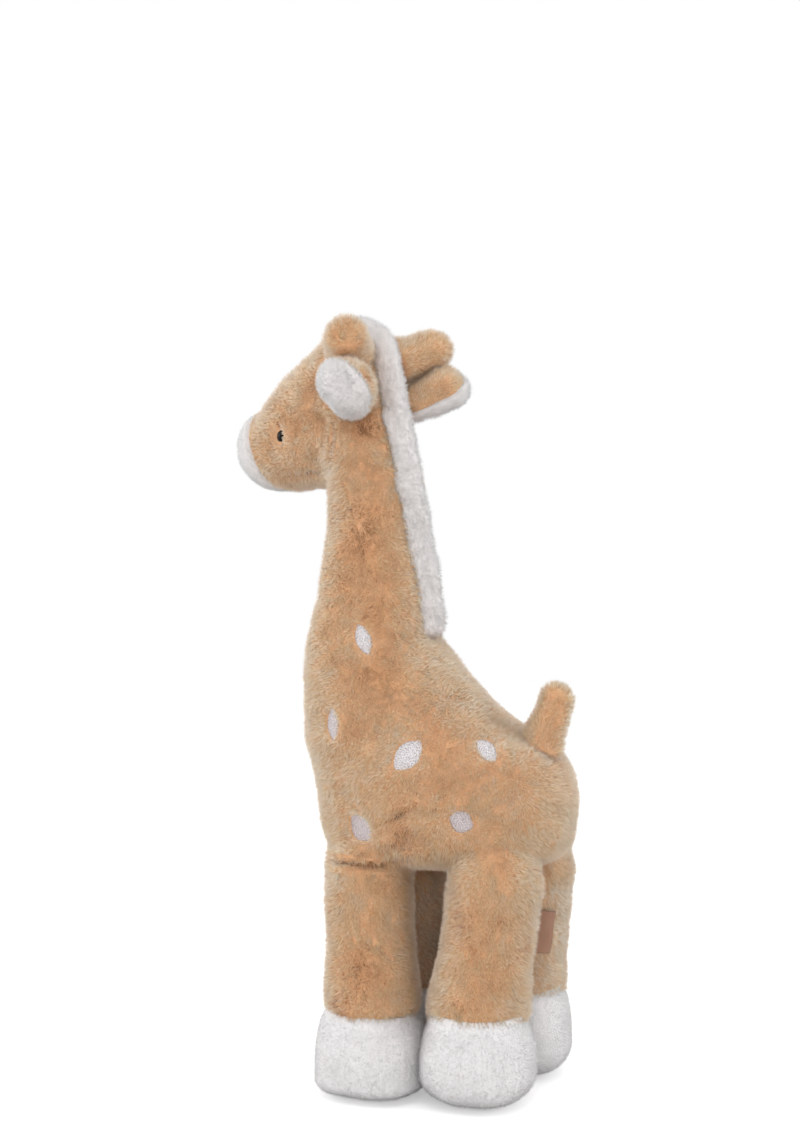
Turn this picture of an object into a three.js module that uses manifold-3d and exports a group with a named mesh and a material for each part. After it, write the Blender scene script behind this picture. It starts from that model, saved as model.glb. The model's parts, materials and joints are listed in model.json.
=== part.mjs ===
// A stuffed toy giraffe that stands on four legs, about 450 mm tall.
// Millimetres, +Z up. It faces -Y and its left side is +X.
// The origin is on the floor, below the middle of the whole giraffe.
// The head is turned a little to its own right, and the neck twists with it.

import * as THREE from 'three';
import { mergeVertices } from 'three/addons/utils/BufferGeometryUtils.js';
import Module from 'manifold-3d';

// Sewing
const seamGap = 0.3;
const weldDistance = 0.00001;

// How far a cutting block reaches past the piece that it cuts
const cutOverrun = 40;
const cutReach = 120;

// Torso
const bellyHeight = 122;
const torsoHeight = 143;
const torsoHalfLength = 76;
const torsoHalfWidth = 55;
const bellyRounding = 22;
const torsoCrown = 6;

// Neck
const neckHeight = 73;
const neckAxisSetback = -40;
const neckTopRadius = 28;
const neckDomeRadius = 22;
const neckDomeHeight = 18;

// Legs
const hipSpread = 28.5;
const frontHipY = -32;
const hindHipY = 42;
const frontFootSpread = 36;
const hindFootSpread = 32.5;
const frontFootY = -26.5;
const hindFootY = 33.5;
const rightHindSetback = 2.5;
const frontLegRadius = 25.3;
const hindLegRadius = 26.3;
const legInset = 24;
const legTopRounding = 16;

// Hooves
const hoofHeight = 45;
const hoofHalfWidth = 32;
const hoofHalfLength = 31;
const frontSoleRounding = 11;
const hindSoleRounding = 19;
const restFlat = 0.5;

// Tail
const tailBackShare = 0.77;
const tailHeightShare = 0.4825;
const tailLean = THREE.MathUtils.degToRad(22);
const tailRadius = 10.2;
const tailLength = 39.5;
const tailSeatRadius = 9.6;

// Head
const headTurn = THREE.MathUtils.degToRad(-22);
const craniumHalfWidth = 30;
const craniumHalfLength = 29;
const craniumHeight = 71;
const craniumCrown = 22;
const snoutRootY = -10;
const snoutHeight = 88;
const snoutHalfWidth = 30;
const snoutLength = 72;
const noseRounding = 23;
const muzzleSeamY = -76;
const muzzleSeamHeight = 22;
const muzzleSeamTilt = THREE.MathUtils.degToRad(30);

// Eyes
const eyeRadius = 4.8;
const eyeHeight = 30;
const eyeY = -52;
const eyeX = 26.5;
const eyeShankRadius = 1.6;
const eyeShankLength = 7;
const eyeDome = 2.6;
const socketReach = 10;

// Ears
const earRootX = 25;
const earRootY = 4;
const earRootHeight = 45;
const leftEarLift = THREE.MathUtils.degToRad(14);
const leftEarRoll = THREE.MathUtils.degToRad(46);
const rightEarLift = THREE.MathUtils.degToRad(18);
const rightEarRoll = THREE.MathUtils.degToRad(34);
const earSweep = THREE.MathUtils.degToRad(42);
const earLength = 38;
const earHalfWidth = 18;
const earHalfThickness = 12.5;
const earSeatRadius = 6.5;
const earSeatHalfWidth = 9;
const liningStart = 10;
const liningSeamSetback = 3;

// Horns
const hornRootX = 20.5;
const hornRootY = 0;
const hornRootHeight = 75;
const hornLift = THREE.MathUtils.degToRad(16);
const hornSweep = THREE.MathUtils.degToRad(38);
const hornLength = 34;
const hornRadius = 14.3;
const hornSeatRadius = 10.5;

// Mane
const maneHalfWidth = 13.5;
const maneRise = 5;
const maneDrop = 14;
const maneCrownY = -14;

// Embroidered spots
const spotLength = 19;
const spotWidth = 13;
const spotDepth = 2;
const spotThickness = 1;

// Woven label
const labelWidth = 19;
const labelHeight = 24;
const labelThickness = 0.9;
const labelCentreHeight = 87;
const labelTurn = THREE.MathUtils.degToRad(32);
const labelTilt = THREE.MathUtils.degToRad(-8);

const neckBaseHeight = bellyHeight + torsoHeight;
const legTopHeight = bellyHeight + legInset;
const jawHeight = neckBaseHeight + neckHeight;

// Shares along the torso, from the belly to the base of the neck:
// height, front, back and half width.
const torsoShares = [
  [0.14, -0.89, 1.0, 0.955],
  [0.25, -0.91, 1.02, 0.985],
  [0.345, -0.935, 1.0, 0.98],
  [0.44, -0.97, 0.9, 0.96],
  [0.53, -1.0, 0.64, 0.935],
  [0.62, -1.005, 0.43, 0.905],
  [0.75, -1.01, 0.18, 0.85],
  [0.9, -0.985, -0.05, 0.76],
  [1.0, -0.96, -0.07, 0.69],
];

// How square the forms are: 2 is an ellipse, and more is squarer.
const torsoRoundness = 2.4;
const bellyEdgeRoundness = 2.6;
const hoofRoundness = 2.2;
const soleEdgeRoundness = 3;
const snoutRoundness = 2.1;

// How far round the twist of the neck stays low down, as a power of the height
const neckTwistPower = 1.5;

// Shares up the neck: height, front and back along the torso, half width
// and how much of the torso's squareness is left.
const neckShares = [
  [0, -0.96, -0.07, 0.69, 1],
  [0.13, -0.935, -0.075, 0.655, 0.8],
  [0.5, -0.905, -0.135, 0.57, 0.3],
];

// Shares up a leg: height above the hoof seam, lean and radius.
const legShares = [
  [0, 0, 1.1],
  [0.12, 0.1, 1.06],
  [0.4, 0.45, 1.0],
  [0.7, 0.8, 0.99],
  [0.86, 1, 1.02],
  [1, 1, 0.96],
];

// Shares up a hoof: height, then half width and half length.
const hoofShares = [
  [0.25, 1.0, 1.0],
  [0.6, 0.99, 0.985],
  [0.85, 0.94, 0.92],
  [1, 0.9, 0.85],
];

// Shares up the back of the head: height, setback, half width and half length.
const craniumShares = [
  [0, 0, 0.93, 0.965],
  [0.15, -0.08, 0.97, 0.99],
  [0.48, -0.33, 1, 1.02],
  [0.7, -0.5, 1, 1.03],
  [1, -0.58, 0.9, 0.96],
];

// Shares along the snout: length, half width, and the heights of its brow and jaw.
const snoutShares = [
  [0, 0.93, 1, 0.006],
  [0.3, 1, 0.97, 0.006],
  [0.57, 1.01, 0.86, 0.008],
  [0.83, 0.94, 0.71, 0.015],
  [1, 0.84, 0.59, 0.04],
];

// Shares along an ear: length, half width and half thickness.
const earShares = [
  [0, 0.4, 0.42],
  [0.18, 0.56, 0.52],
  [0.42, 0.92, 0.86],
  [0.62, 1, 1],
];

// Shares along a horn: length and radius.
const hornShares = [
  [0, 0.5],
  [0.12, 0.73],
  [0.3, 0.86],
  [0.58, 1],
];

// Shares along the tail: length and radius.
const tailShares = [
  [0, 0.6],
  [0.14, 0.9],
  [0.35, 1],
  [0.75, 0.97],
];

// Shares of half a leaf outline: the control point and the end point of each
// curve, along its length and across its width. The other half is turned about.
const leafShares = [
  [-1 / 6, -0.75, 0.25, -0.42],
  [0.45, -0.25, 0.5, 0],
];
const spotInnerShare = 0.33;

// The way an eye looks: out to its side, then forward and up, as shares
const eyeForwardShare = 0.35;
const eyeUpShare = 0.12;

// Shares of the spots on one side: along the torso, height, length,
// turn of the leaf in half turns, and how far its face turns to the front.
const spotShares = [
  [-0.33, 0.9, 0.92, 0.58, 0.1],
  [-0.38, 0.58, 0.95, 0.55, 0.2],
  [-0.01, 0.465, 1.08, 0.27, 0],
  [0.48, 0.485, 0.8, 0.8, -0.06],
  [-0.3, 0.195, 0.9, 0.7, 0.08],
  [0.37, 0.225, 0.8, 0.88, -0.02],
];

const wasm = await Module();
wasm.setup();

// One solid from a closed geometry, as vertices and triangles only.
function solidOf(geometry) {
  const plain = geometry.clone();
  plain.deleteAttribute('normal');
  plain.deleteAttribute('uv');
  const merged = mergeVertices(plain, weldDistance);
  const vertProperties = new Float32Array(merged.attributes.position.array);
  const triVerts = new Uint32Array(merged.index.array);
  return new wasm.Manifold(new wasm.Mesh({ numProp: 3, vertProperties, triVerts }));
}

// The geometry of a solid, ready for a mesh.
function geometryOf(solid) {
  const { numProp, vertProperties, triVerts } = solid.getMesh();
  const points = [];
  for (let start = 0; start < vertProperties.length; start += numProp) {
    points.push(vertProperties[start], vertProperties[start + 1], vertProperties[start + 2]);
  }
  const geometry = new THREE.BufferGeometry();
  geometry.setAttribute('position', new THREE.Float32BufferAttribute(points, 3));
  geometry.setIndex(Array.from(triVerts));
  geometry.computeVertexNormals();
  return geometry;
}

// A closed skin over rings of equal point counts, ending in two tip points.
function skinOverRings(rings, firstTip, lastTip) {
  const sides = rings[0].length;
  const points = [...rings.flat(), firstTip, lastTip];
  const first = points.length - 2;
  const last = points.length - 1;
  const faces = [];
  for (let ring = 0; ring + 1 < rings.length; ring += 1) {
    for (let side = 0; side < sides; side += 1) {
      const next = (side + 1) % sides;
      const low = ring * sides;
      const high = low + sides;
      faces.push(low + side, low + next, high + next);
      faces.push(low + side, high + next, high + side);
    }
  }
  const top = (rings.length - 1) * sides;
  for (let side = 0; side < sides; side += 1) {
    const next = (side + 1) % sides;
    faces.push(first, next, side);
    faces.push(last, top + side, top + next);
  }
  const geometry = new THREE.BufferGeometry();
  const places = points.flatMap((point) => [point.x, point.y, point.z]);
  geometry.setAttribute('position', new THREE.Float32BufferAttribute(places, 3));
  geometry.setIndex(faces);
  return geometry;
}

// The points of one level ring: an ellipse at roundness 2, squarer above it.
function levelRing(row, sides, scale = 1) {
  const ring = [];
  for (let side = 0; side < sides; side += 1) {
    const angle = (side / sides) * 2 * Math.PI;
    const c = Math.cos(angle);
    const s = Math.sin(angle);
    const x = Math.sign(c) * Math.abs(c) ** (2 / row.roundness) * row.halfX * scale;
    const y = Math.sign(s) * Math.abs(s) ** (2 / row.roundness) * row.halfY * scale;
    ring.push(new THREE.Vector3(row.x + x, row.y + y, row.z));
  }
  return ring;
}

// Rows read from a smooth curve through the rows given.
function smoothRows(rows, steps) {
  const names = ['x', 'y', 'z', 'halfX', 'halfY', 'roundness'];
  const curves = names.map((name) => {
    const points = rows.map((row) => new THREE.Vector3(row[name], 0, 0));
    return new THREE.CatmullRomCurve3(points, false, 'catmullrom', 0.5);
  });
  return Array.from({ length: steps + 1 }, (_, step) => {
    const values = curves.map((curve) => curve.getPoint(step / steps).x);
    return Object.fromEntries(names.map((name, index) => [name, values[index]]));
  });
}

// The rings of a rounded end, which shrink away from the ring that they close.
function roundedEnd(row, form, height) {
  const rings = [];
  for (let step = 1; step < form.endSteps; step += 1) {
    const angle = (step / form.endSteps) * (Math.PI / 2);
    const scale = Math.cos(angle) ** (2 / form.endRoundness);
    const rise = height * Math.sin(angle) ** (2 / form.endRoundness);
    rings.push(levelRing({ ...row, z: row.z + rise }, form.sides, scale));
  }
  return rings;
}

// A stuffed form that swells and tapers along +Z, with rounded or flat ends.
// grow moves its skin outward by that much, for a seat or a sunk skin.
function stuffedForm(shape, grow = 0) {
  const defaults = { sides: 24, steps: 10, roundness: 2, endSteps: 4, endRoundness: 2 };
  const form = { ...defaults, lowEnd: 0, highEnd: 0, ...shape };
  const given = form.rows.map((row) => ({ roundness: form.roundness, ...row }));
  const rows = smoothRows(given, form.steps).map((row) => ({
    ...row,
    halfX: row.halfX + grow,
    halfY: row.halfY + grow,
  }));
  const lowRow = rows[0];
  const highRow = rows[rows.length - 1];
  const lowHeight = form.lowEnd > 0 ? form.lowEnd + grow : 0;
  const highHeight = form.highEnd > 0 ? form.highEnd + grow : 0;
  const rings = rows.map((row) => levelRing(row, form.sides));
  if (lowHeight > 0) rings.unshift(...roundedEnd(lowRow, form, -lowHeight).reverse());
  if (highHeight > 0) rings.push(...roundedEnd(highRow, form, highHeight));
  const lowTip = new THREE.Vector3(lowRow.x, lowRow.y, lowRow.z - lowHeight);
  const highTip = new THREE.Vector3(highRow.x, highRow.y, highRow.z + highHeight);
  return solidOf(skinOverRings(rings, lowTip, highTip));
}

// A padded strip laid along a route, with its own outward direction at each point.
function stripForm(route, halfWidth, halfThickness, sides = 12) {
  const rings = route.map((stop, index) => {
    const before = route[Math.max(index - 1, 0)].place;
    const after = route[Math.min(index + 1, route.length - 1)].place;
    const along = after.clone().sub(before).normalize();
    const across = new THREE.Vector3().crossVectors(stop.outward, along).normalize();
    const up = new THREE.Vector3().crossVectors(along, across);
    return Array.from({ length: sides }, (_, side) => {
      const angle = (side / sides) * 2 * Math.PI;
      return stop.place.clone()
        .addScaledVector(across, halfWidth * Math.cos(angle))
        .addScaledVector(up, halfThickness * Math.sin(angle));
    });
  });
  const lastStop = route[route.length - 1].place;
  return solidOf(skinOverRings(rings, route[0].place, lastStop));
}

// A solid moved by the matrix that places a piece inside its parent.
function moved(solid, matrix) {
  return solidOf(geometryOf(solid).applyMatrix4(matrix));
}

// A ball, or a spindle that turns about its local X axis.
function seatSolid(radius, halfWidth, grow = 0) {
  const ball = new THREE.SphereGeometry(radius + grow, 16, 8);
  ball.rotateZ(Math.PI / 2);
  ball.scale((halfWidth + grow) / (radius + grow), 1, 1);
  return solidOf(ball);
}

// A block that covers everything on one side of a plane.
function halfSpace(origin, rotation) {
  const block = new THREE.BoxGeometry(2 * cutReach, cutReach, 2 * cutReach);
  block.translate(0, -cutReach / 2, 0);
  block.applyMatrix4(new THREE.Matrix4().makeRotationFromEuler(rotation));
  block.translate(origin.x, origin.y, origin.z);
  return solidOf(block);
}

function piece(name, solid, material) {
  const mesh = new THREE.Mesh(geometryOf(solid), material);
  mesh.name = name;
  return mesh;
}

function tanPlush() {
  return new THREE.MeshStandardMaterial({ color: 0xc8a078, roughness: 0.95, metalness: 0 });
}

function whitePlush() {
  return new THREE.MeshStandardMaterial({ color: 0xe6e3e0, roughness: 0.95, metalness: 0 });
}

function satinThread() {
  return new THREE.MeshStandardMaterial({ color: 0xe4e0e8, roughness: 0.5, metalness: 0 });
}

function darkGloss() {
  return new THREE.MeshStandardMaterial({ color: 0x1c1410, roughness: 0.2, metalness: 0 });
}

function brownRibbon() {
  return new THREE.MeshStandardMaterial({ color: 0xa8806a, roughness: 0.7, metalness: 0 });
}

// Torso, with the rump behind and the chest rising to the neck.
function torsoForm(grow) {
  const rows = torsoShares.map(([height, front, back, width]) => ({
    x: 0,
    y: ((front + back) / 2) * torsoHalfLength,
    z: bellyHeight + height * torsoHeight,
    halfX: width * torsoHalfWidth,
    halfY: ((back - front) / 2) * torsoHalfLength,
  }));
  rows[0].z = bellyHeight + bellyRounding;
  const ends = { lowEnd: bellyRounding, highEnd: torsoCrown, endSteps: 3 };
  const shape = { sides: 24, steps: 11, roundness: torsoRoundness, endRoundness: bellyEdgeRoundness };
  return stuffedForm({ rows, ...ends, ...shape }, grow);
}

// The rows of the neck, from its base up to the level ring under the jaw.
function neckRows() {
  const rows = neckShares.map(([height, front, back, width, squareness]) => ({
    x: 0,
    y: ((front + back) / 2) * torsoHalfLength,
    z: neckBaseHeight + height * neckHeight,
    halfX: width * torsoHalfWidth,
    halfY: ((back - front) / 2) * torsoHalfLength,
    roundness: THREE.MathUtils.lerp(2, torsoRoundness, squareness),
  }));
  const top = { x: 0, y: neckAxisSetback, halfX: neckTopRadius, halfY: neckTopRadius };
  rows.push({ ...top, z: jawHeight, roundness: 2 });
  return rows;
}

// The round dome that the head sits on, and turns about.
function neckDome(grow) {
  const round = { x: 0, y: 0, halfX: neckDomeRadius, halfY: neckDomeRadius };
  const rows = [{ ...round, z: -neckDomeHeight }, { ...round, z: 0 }];
  return stuffedForm({ rows, sides: 20, steps: 1, highEnd: neckDomeHeight }, grow);
}

function neckForm(grow) {
  const rows = neckRows();
  rows[0].z += seamGap;
  const column = stuffedForm({ rows, sides: 24, steps: 5 }, grow);
  const place = new THREE.Matrix4().makeTranslation(0, neckAxisSetback, jawHeight);
  return column.add(moved(neckDome(grow), place));
}

// The four legs, each leaning from its hip to its hoof.
// The right hind leg stands a little further back than the left one.
const frontLeft = {
  name: 'front_left',
  side: 1,
  radius: frontLegRadius,
  soleRounding: frontSoleRounding,
  hipY: frontHipY,
  spread: frontFootSpread,
  footY: frontFootY,
};
const frontRight = { ...frontLeft, name: 'front_right', side: -1 };
const hindLeft = {
  name: 'hind_left',
  side: 1,
  radius: hindLegRadius,
  soleRounding: hindSoleRounding,
  hipY: hindHipY,
  spread: hindFootSpread,
  footY: hindFootY,
};
const hindRight = {
  ...hindLeft,
  name: 'hind_right',
  side: -1,
  hipY: hindHipY + rightHindSetback,
  footY: hindFootY + rightHindSetback,
};
const legs = [frontLeft, frontRight, hindLeft, hindRight];

function legForm(leg, grow = 0) {
  const legHeight = legTopHeight - legTopRounding - hoofHeight - seamGap;
  const rows = legShares.map(([height, lean, radius]) => ({
    x: leg.side * THREE.MathUtils.lerp(leg.spread, hipSpread, lean),
    y: THREE.MathUtils.lerp(leg.footY, leg.hipY, lean),
    z: hoofHeight + seamGap + height * legHeight,
    halfX: radius * leg.radius,
    halfY: radius * leg.radius,
  }));
  return stuffedForm({ rows, sides: 20, steps: 6, highEnd: legTopRounding }, grow);
}

// A hoof swells below its seam and is cut flat where it rests on the floor.
function hoofForm(leg, grow = 0) {
  const rows = hoofShares.map(([height, halfWidth, halfLength]) => ({
    x: leg.side * leg.spread,
    y: leg.footY,
    z: height * hoofHeight,
    halfX: halfWidth * hoofHalfWidth,
    halfY: halfLength * hoofHalfLength,
  }));
  rows[0].z = leg.soleRounding - restFlat;
  const sole = { lowEnd: leg.soleRounding, endRoundness: soleEdgeRoundness, endSteps: 5 };
  const shape = { sides: 20, steps: 5, roundness: hoofRoundness };
  const whole = stuffedForm({ rows, ...shape, ...sole }, grow);
  const floor = new THREE.Vector3(leg.side * leg.spread, leg.footY, 0);
  return whole.subtract(halfSpace(floor, new THREE.Euler(Math.PI / 2, 0, 0)));
}

// A front hoof is pressed in where it leans on the hind hoof of its side.
function pressedHoof(leg, behind) {
  return hoofForm(leg).subtract(hoofForm(behind, seamGap));
}

// A finger of a tail on a round root that turns in its seam.
function tailForm() {
  const rows = tailShares.map(([length, radius]) => ({
    x: 0,
    y: 0,
    z: length * tailLength,
    halfX: radius * tailRadius,
    halfY: radius * tailRadius,
  }));
  const tip = tailLength - rows[rows.length - 1].z;
  const finger = stuffedForm({ rows, sides: 16, steps: 5, highEnd: tip });
  return finger.add(seatSolid(tailSeatRadius, tailSeatRadius));
}

function tailPlace() {
  const back = tailBackShare * torsoHalfLength;
  const height = bellyHeight + tailHeightShare * torsoHeight;
  return new THREE.Matrix4().makeRotationX(-tailLean).setPosition(0, back, height);
}

// A flat leaf with two pointed ends, made thick.
function leafGeometry(length, width, depth) {
  const leaf = new THREE.Shape();
  leaf.moveTo(-length / 2, 0);
  for (const way of [1, -1]) {
    for (const [nearX, nearY, endX, endY] of leafShares) {
      const near = new THREE.Vector2(way * nearX * length, way * nearY * width);
      leaf.quadraticCurveTo(near.x, near.y, way * endX * length, way * endY * width);
    }
  }
  const settings = { depth, bevelEnabled: false, curveSegments: 3 };
  return new THREE.ExtrudeGeometry(leaf, settings);
}

// The prism of a spot, standing out of one side of the torso.
function spotPrism(shares, side, margin) {
  const [along, height, size, turn, face] = shares;
  const length = spotLength * size + 2 * margin;
  const width = spotWidth * size + 2 * margin;
  const prism = leafGeometry(length, width, torsoHalfWidth);
  prism.rotateZ(side * turn * Math.PI);
  prism.rotateX(Math.PI / 2);
  prism.rotateZ(side * Math.PI / 2 - side * face * Math.PI);
  prism.translate(side * spotInnerShare * torsoHalfWidth, 0, 0);
  prism.translate(0, along * torsoHalfLength, bellyHeight + height * torsoHeight);
  return solidOf(prism);
}

// A thin pad of stitches that follows the torso's skin below its surface.
function spotPad(shares, side) {
  const outer = torsoForm(spotThickness - spotDepth + seamGap);
  const inner = torsoForm(seamGap - spotDepth);
  return spotPrism(shares, side, 0).intersect(outer).subtract(inner);
}

function spotPocket(shares, side) {
  return spotPrism(shares, side, seamGap).subtract(torsoForm(-spotDepth));
}

// The cranium, which carries on from the neck, and the snout in front of it.
function headForm(grow = 0) {
  const rows = craniumShares.map(([height, setback, halfWidth, halfLength]) => ({
    x: 0,
    y: setback * craniumHalfLength,
    z: seamGap + height * craniumHeight,
    halfX: halfWidth * craniumHalfWidth,
    halfY: halfLength * craniumHalfLength,
  }));
  const cranium = stuffedForm({ rows, sides: 22, steps: 6, highEnd: craniumCrown }, grow);
  return cranium.add(snoutForm(grow));
}

function snoutForm(grow) {
  const rows = snoutShares.map(([length, halfWidth, brow, jaw]) => ({
    x: 0,
    y: ((brow + jaw) / 2) * snoutHeight,
    z: length * snoutLength,
    halfX: halfWidth * snoutHalfWidth,
    halfY: ((brow - jaw) / 2) * snoutHeight,
  }));
  const nose = { highEnd: noseRounding, endSteps: 5 };
  const snout = stuffedForm({ rows, sides: 22, steps: 6, roundness: snoutRoundness, ...nose }, grow);
  const place = new THREE.Matrix4().makeRotationX(Math.PI / 2);
  return moved(snout, place.setPosition(0, snoutRootY, 0));
}

// Everything in front of the seam between the face and the white muzzle.
function muzzleSide(gap) {
  const seam = new THREE.Vector3(0, muzzleSeamY - gap, muzzleSeamHeight);
  return halfSpace(seam, new THREE.Euler(muzzleSeamTilt, 0, 0));
}

// An eye is a dome on a shank that goes into the face.
function eyeSolid() {
  const profile = [
    new THREE.Vector2(0, -eyeShankLength),
    new THREE.Vector2(eyeShankRadius, -eyeShankLength),
    new THREE.Vector2(eyeShankRadius, 0),
    new THREE.Vector2(eyeRadius, 0),
  ];
  const domeSteps = 3;
  for (let step = 1; step <= domeSteps; step += 1) {
    const angle = (step / domeSteps) * (Math.PI / 2);
    const edge = step === domeSteps ? 0 : eyeRadius * Math.cos(angle);
    profile.push(new THREE.Vector2(edge, eyeDome * Math.sin(angle)));
  }
  const dome = new THREE.LatheGeometry(profile, 14);
  dome.rotateX(Math.PI / 2);
  return solidOf(dome);
}

// The places of the ears and horns: +Z along the piece, +X the line it bends about.
function limbPlace(root, side, lift, sweep, roll) {
  const along = new THREE.Vector3(
    side * Math.cos(lift) * Math.cos(sweep),
    Math.cos(lift) * Math.sin(sweep),
    Math.sin(lift),
  );
  const up = new THREE.Vector3(0, 0, 1).addScaledVector(along, -along.z).normalize();
  const upper = up.applyAxisAngle(along, -side * roll);
  const bend = new THREE.Vector3().crossVectors(upper, along);
  const place = new THREE.Matrix4().makeBasis(bend, upper, along);
  return place.setPosition(side * root.x, root.y, root.z);
}

function earPlace(side) {
  const root = new THREE.Vector3(earRootX, earRootY, earRootHeight);
  const lift = side > 0 ? leftEarLift : rightEarLift;
  const roll = side > 0 ? leftEarRoll : rightEarRoll;
  return limbPlace(root, side, lift, earSweep, roll);
}

function hornPlace(side) {
  const root = new THREE.Vector3(hornRootX, hornRootY, hornRootHeight);
  return limbPlace(root, side, hornLift, hornSweep, 0);
}

// A thick leaf with its seam all round. +Y is its back and -Y its lining.
function earForm() {
  const rows = earShares.map(([length, halfWidth, halfThickness]) => ({
    x: 0,
    y: 0,
    z: length * earLength,
    halfX: halfWidth * earHalfWidth,
    halfY: halfThickness * earHalfThickness,
  }));
  const tip = earLength - rows[rows.length - 1].z;
  return stuffedForm({ rows, sides: 18, steps: 5, highEnd: tip, endSteps: 4 });
}

function liningSide(gap) {
  const block = new THREE.BoxGeometry(2 * cutOverrun, cutOverrun, 2 * cutOverrun);
  block.translate(0, liningSeamSetback - cutOverrun / 2 - gap, cutOverrun + liningStart + gap);
  return solidOf(block);
}

function earBackForm() {
  const whole = earForm().add(seatSolid(earSeatRadius, earSeatHalfWidth));
  return whole.subtract(liningSide(0));
}

function hornForm(grow = 0) {
  const rows = hornShares.map(([length, radius]) => ({
    x: 0,
    y: 0,
    z: length * hornLength,
    halfX: radius * hornRadius,
    halfY: radius * hornRadius,
  }));
  const tip = hornLength - rows[rows.length - 1].z;
  const shape = { sides: 16, steps: 4, highEnd: tip, endSteps: 4 };
  return stuffedForm({ rows, ...shape }, grow).add(seatSolid(hornSeatRadius, hornSeatRadius, grow));
}

// The route of the mane up the neck, which twists round with the head.
function neckManeRoute() {
  const rows = smoothRows(neckRows(), 8);
  const below = { ...rows[0], z: neckBaseHeight - maneDrop };
  return [below, ...rows].map((row) => {
    const rise = Math.max(row.z - neckBaseHeight, 0) / neckHeight;
    const turn = -headTurn * rise ** neckTwistPower;
    const outward = new THREE.Vector3(Math.sin(turn), Math.cos(turn), 0);
    const place = new THREE.Vector3(row.x, row.y, row.z);
    place.x += outward.x * row.halfX;
    place.y += outward.y * row.halfY;
    return { place, outward };
  });
}

function neckManeForm() {
  const strip = stripForm(neckManeRoute(), maneHalfWidth, maneRise);
  const level = new THREE.Vector3(0, neckAxisSetback, jawHeight - seamGap);
  const above = halfSpace(level, new THREE.Euler(-Math.PI / 2, 0, 0));
  return strip.subtract(neckForm(seamGap)).subtract(torsoForm(seamGap)).subtract(above);
}

// The route of the mane up the back of the head and over its crown.
function headManeRoute() {
  const rows = craniumShares.map(([height, setback, , halfLength]) => ({
    y: (setback + halfLength) * craniumHalfLength,
    z: seamGap + height * craniumHeight,
  }));
  const points = rows.map((row) => new THREE.Vector3(0, row.y, row.z));
  points.unshift(new THREE.Vector3(0, rows[0].y, -maneRise));
  const last = craniumShares[craniumShares.length - 1];
  const crownY = last[1] * craniumHalfLength;
  const reach = last[3] * craniumHalfLength;
  for (const angle of [Math.PI / 6, Math.PI / 3]) {
    const y = crownY + reach * Math.cos(angle);
    points.push(new THREE.Vector3(0, y, craniumHeight + craniumCrown * Math.sin(angle)));
  }
  points.push(new THREE.Vector3(0, maneCrownY, craniumHeight + craniumCrown));
  const curve = new THREE.CatmullRomCurve3(points);
  const steps = 12;
  return Array.from({ length: steps + 1 }, (_, step) => {
    const along = curve.getTangentAt(step / steps);
    const outward = new THREE.Vector3(0, along.z, -along.y);
    return { place: curve.getPointAt(step / steps), outward };
  });
}

function headManeForm() {
  const strip = stripForm(headManeRoute(), maneHalfWidth, maneRise);
  const level = new THREE.Vector3(0, 0, seamGap);
  const below = halfSpace(level, new THREE.Euler(Math.PI / 2, 0, 0));
  return strip.subtract(headForm(seamGap)).subtract(hornForms(seamGap)).subtract(below);
}

// The round roots of both horns.
function hornSeats(grow) {
  const seats = [1, -1].map((side) => {
    return moved(seatSolid(hornSeatRadius, hornSeatRadius, grow), hornPlace(side));
  });
  return seats[0].add(seats[1]);
}

// Both horns where they stand on the head.
function hornForms(grow) {
  const horns = [1, -1].map((side) => moved(hornForm(grow), hornPlace(side)));
  return horns[0].add(horns[1]);
}

// A woven label that lies against the inner back of the right hind leg.
function labelForm(leg) {
  const reach = 2 * leg.radius;
  const block = new THREE.BoxGeometry(reach, labelWidth, labelHeight);
  block.translate(reach / 2, 0, 0);
  block.rotateX(labelTilt);
  block.rotateZ(labelTurn);
  const lean = (labelCentreHeight - hoofHeight) / (legTopHeight - hoofHeight);
  const x = leg.side * THREE.MathUtils.lerp(leg.spread, hipSpread, lean);
  const y = THREE.MathUtils.lerp(leg.footY, leg.hipY, lean);
  block.translate(x, y, labelCentreHeight);
  const shell = legForm(leg, seamGap + labelThickness).subtract(legForm(leg, seamGap));
  return shell.intersect(solidOf(block));
}

function placedGroup(matrix) {
  const group = new THREE.Group();
  group.applyMatrix4(matrix);
  return group;
}

function makeBody() {
  const body = new THREE.Group();
  const pads = [];
  let torso = torsoForm(0);
  for (const [sideName, side] of [['left', 1], ['right', -1]]) {
    spotShares.forEach((shares, index) => {
      torso = torso.subtract(spotPocket(shares, side));
      const name = `spot_${sideName}_${index + 1}`;
      pads.push(piece(name, spotPad(shares, side), satinThread()));
    });
  }
  const tailSeat = seatSolid(tailSeatRadius, tailSeatRadius, seamGap);
  torso = torso.subtract(moved(tailSeat, tailPlace()));
  body.add(piece('torso', torso, tanPlush()), ...pads);
  body.add(piece('neck', neckForm(0).subtract(torsoForm(seamGap)), tanPlush()));
  body.add(piece('mane_neck', neckManeForm(), whitePlush()));
  return body;
}

function makeLegs() {
  const group = new THREE.Group();
  for (const leg of legs) {
    const solid = legForm(leg).subtract(torsoForm(seamGap));
    group.add(piece(`leg_${leg.name}`, solid, tanPlush()));
  }
  group.add(piece('hoof_front_left', pressedHoof(frontLeft, hindLeft), whitePlush()));
  group.add(piece('hoof_front_right', pressedHoof(frontRight, hindRight), whitePlush()));
  group.add(piece('hoof_hind_left', hoofForm(hindLeft), whitePlush()));
  group.add(piece('hoof_hind_right', hoofForm(hindRight), whitePlush()));
  group.add(piece('label', labelForm(hindRight), brownRibbon()));
  return group;
}

function makeTail() {
  const group = placedGroup(tailPlace());
  group.name = 'tail_seam';
  group.add(piece('tail', tailForm(), tanPlush()));
  return group;
}

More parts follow.
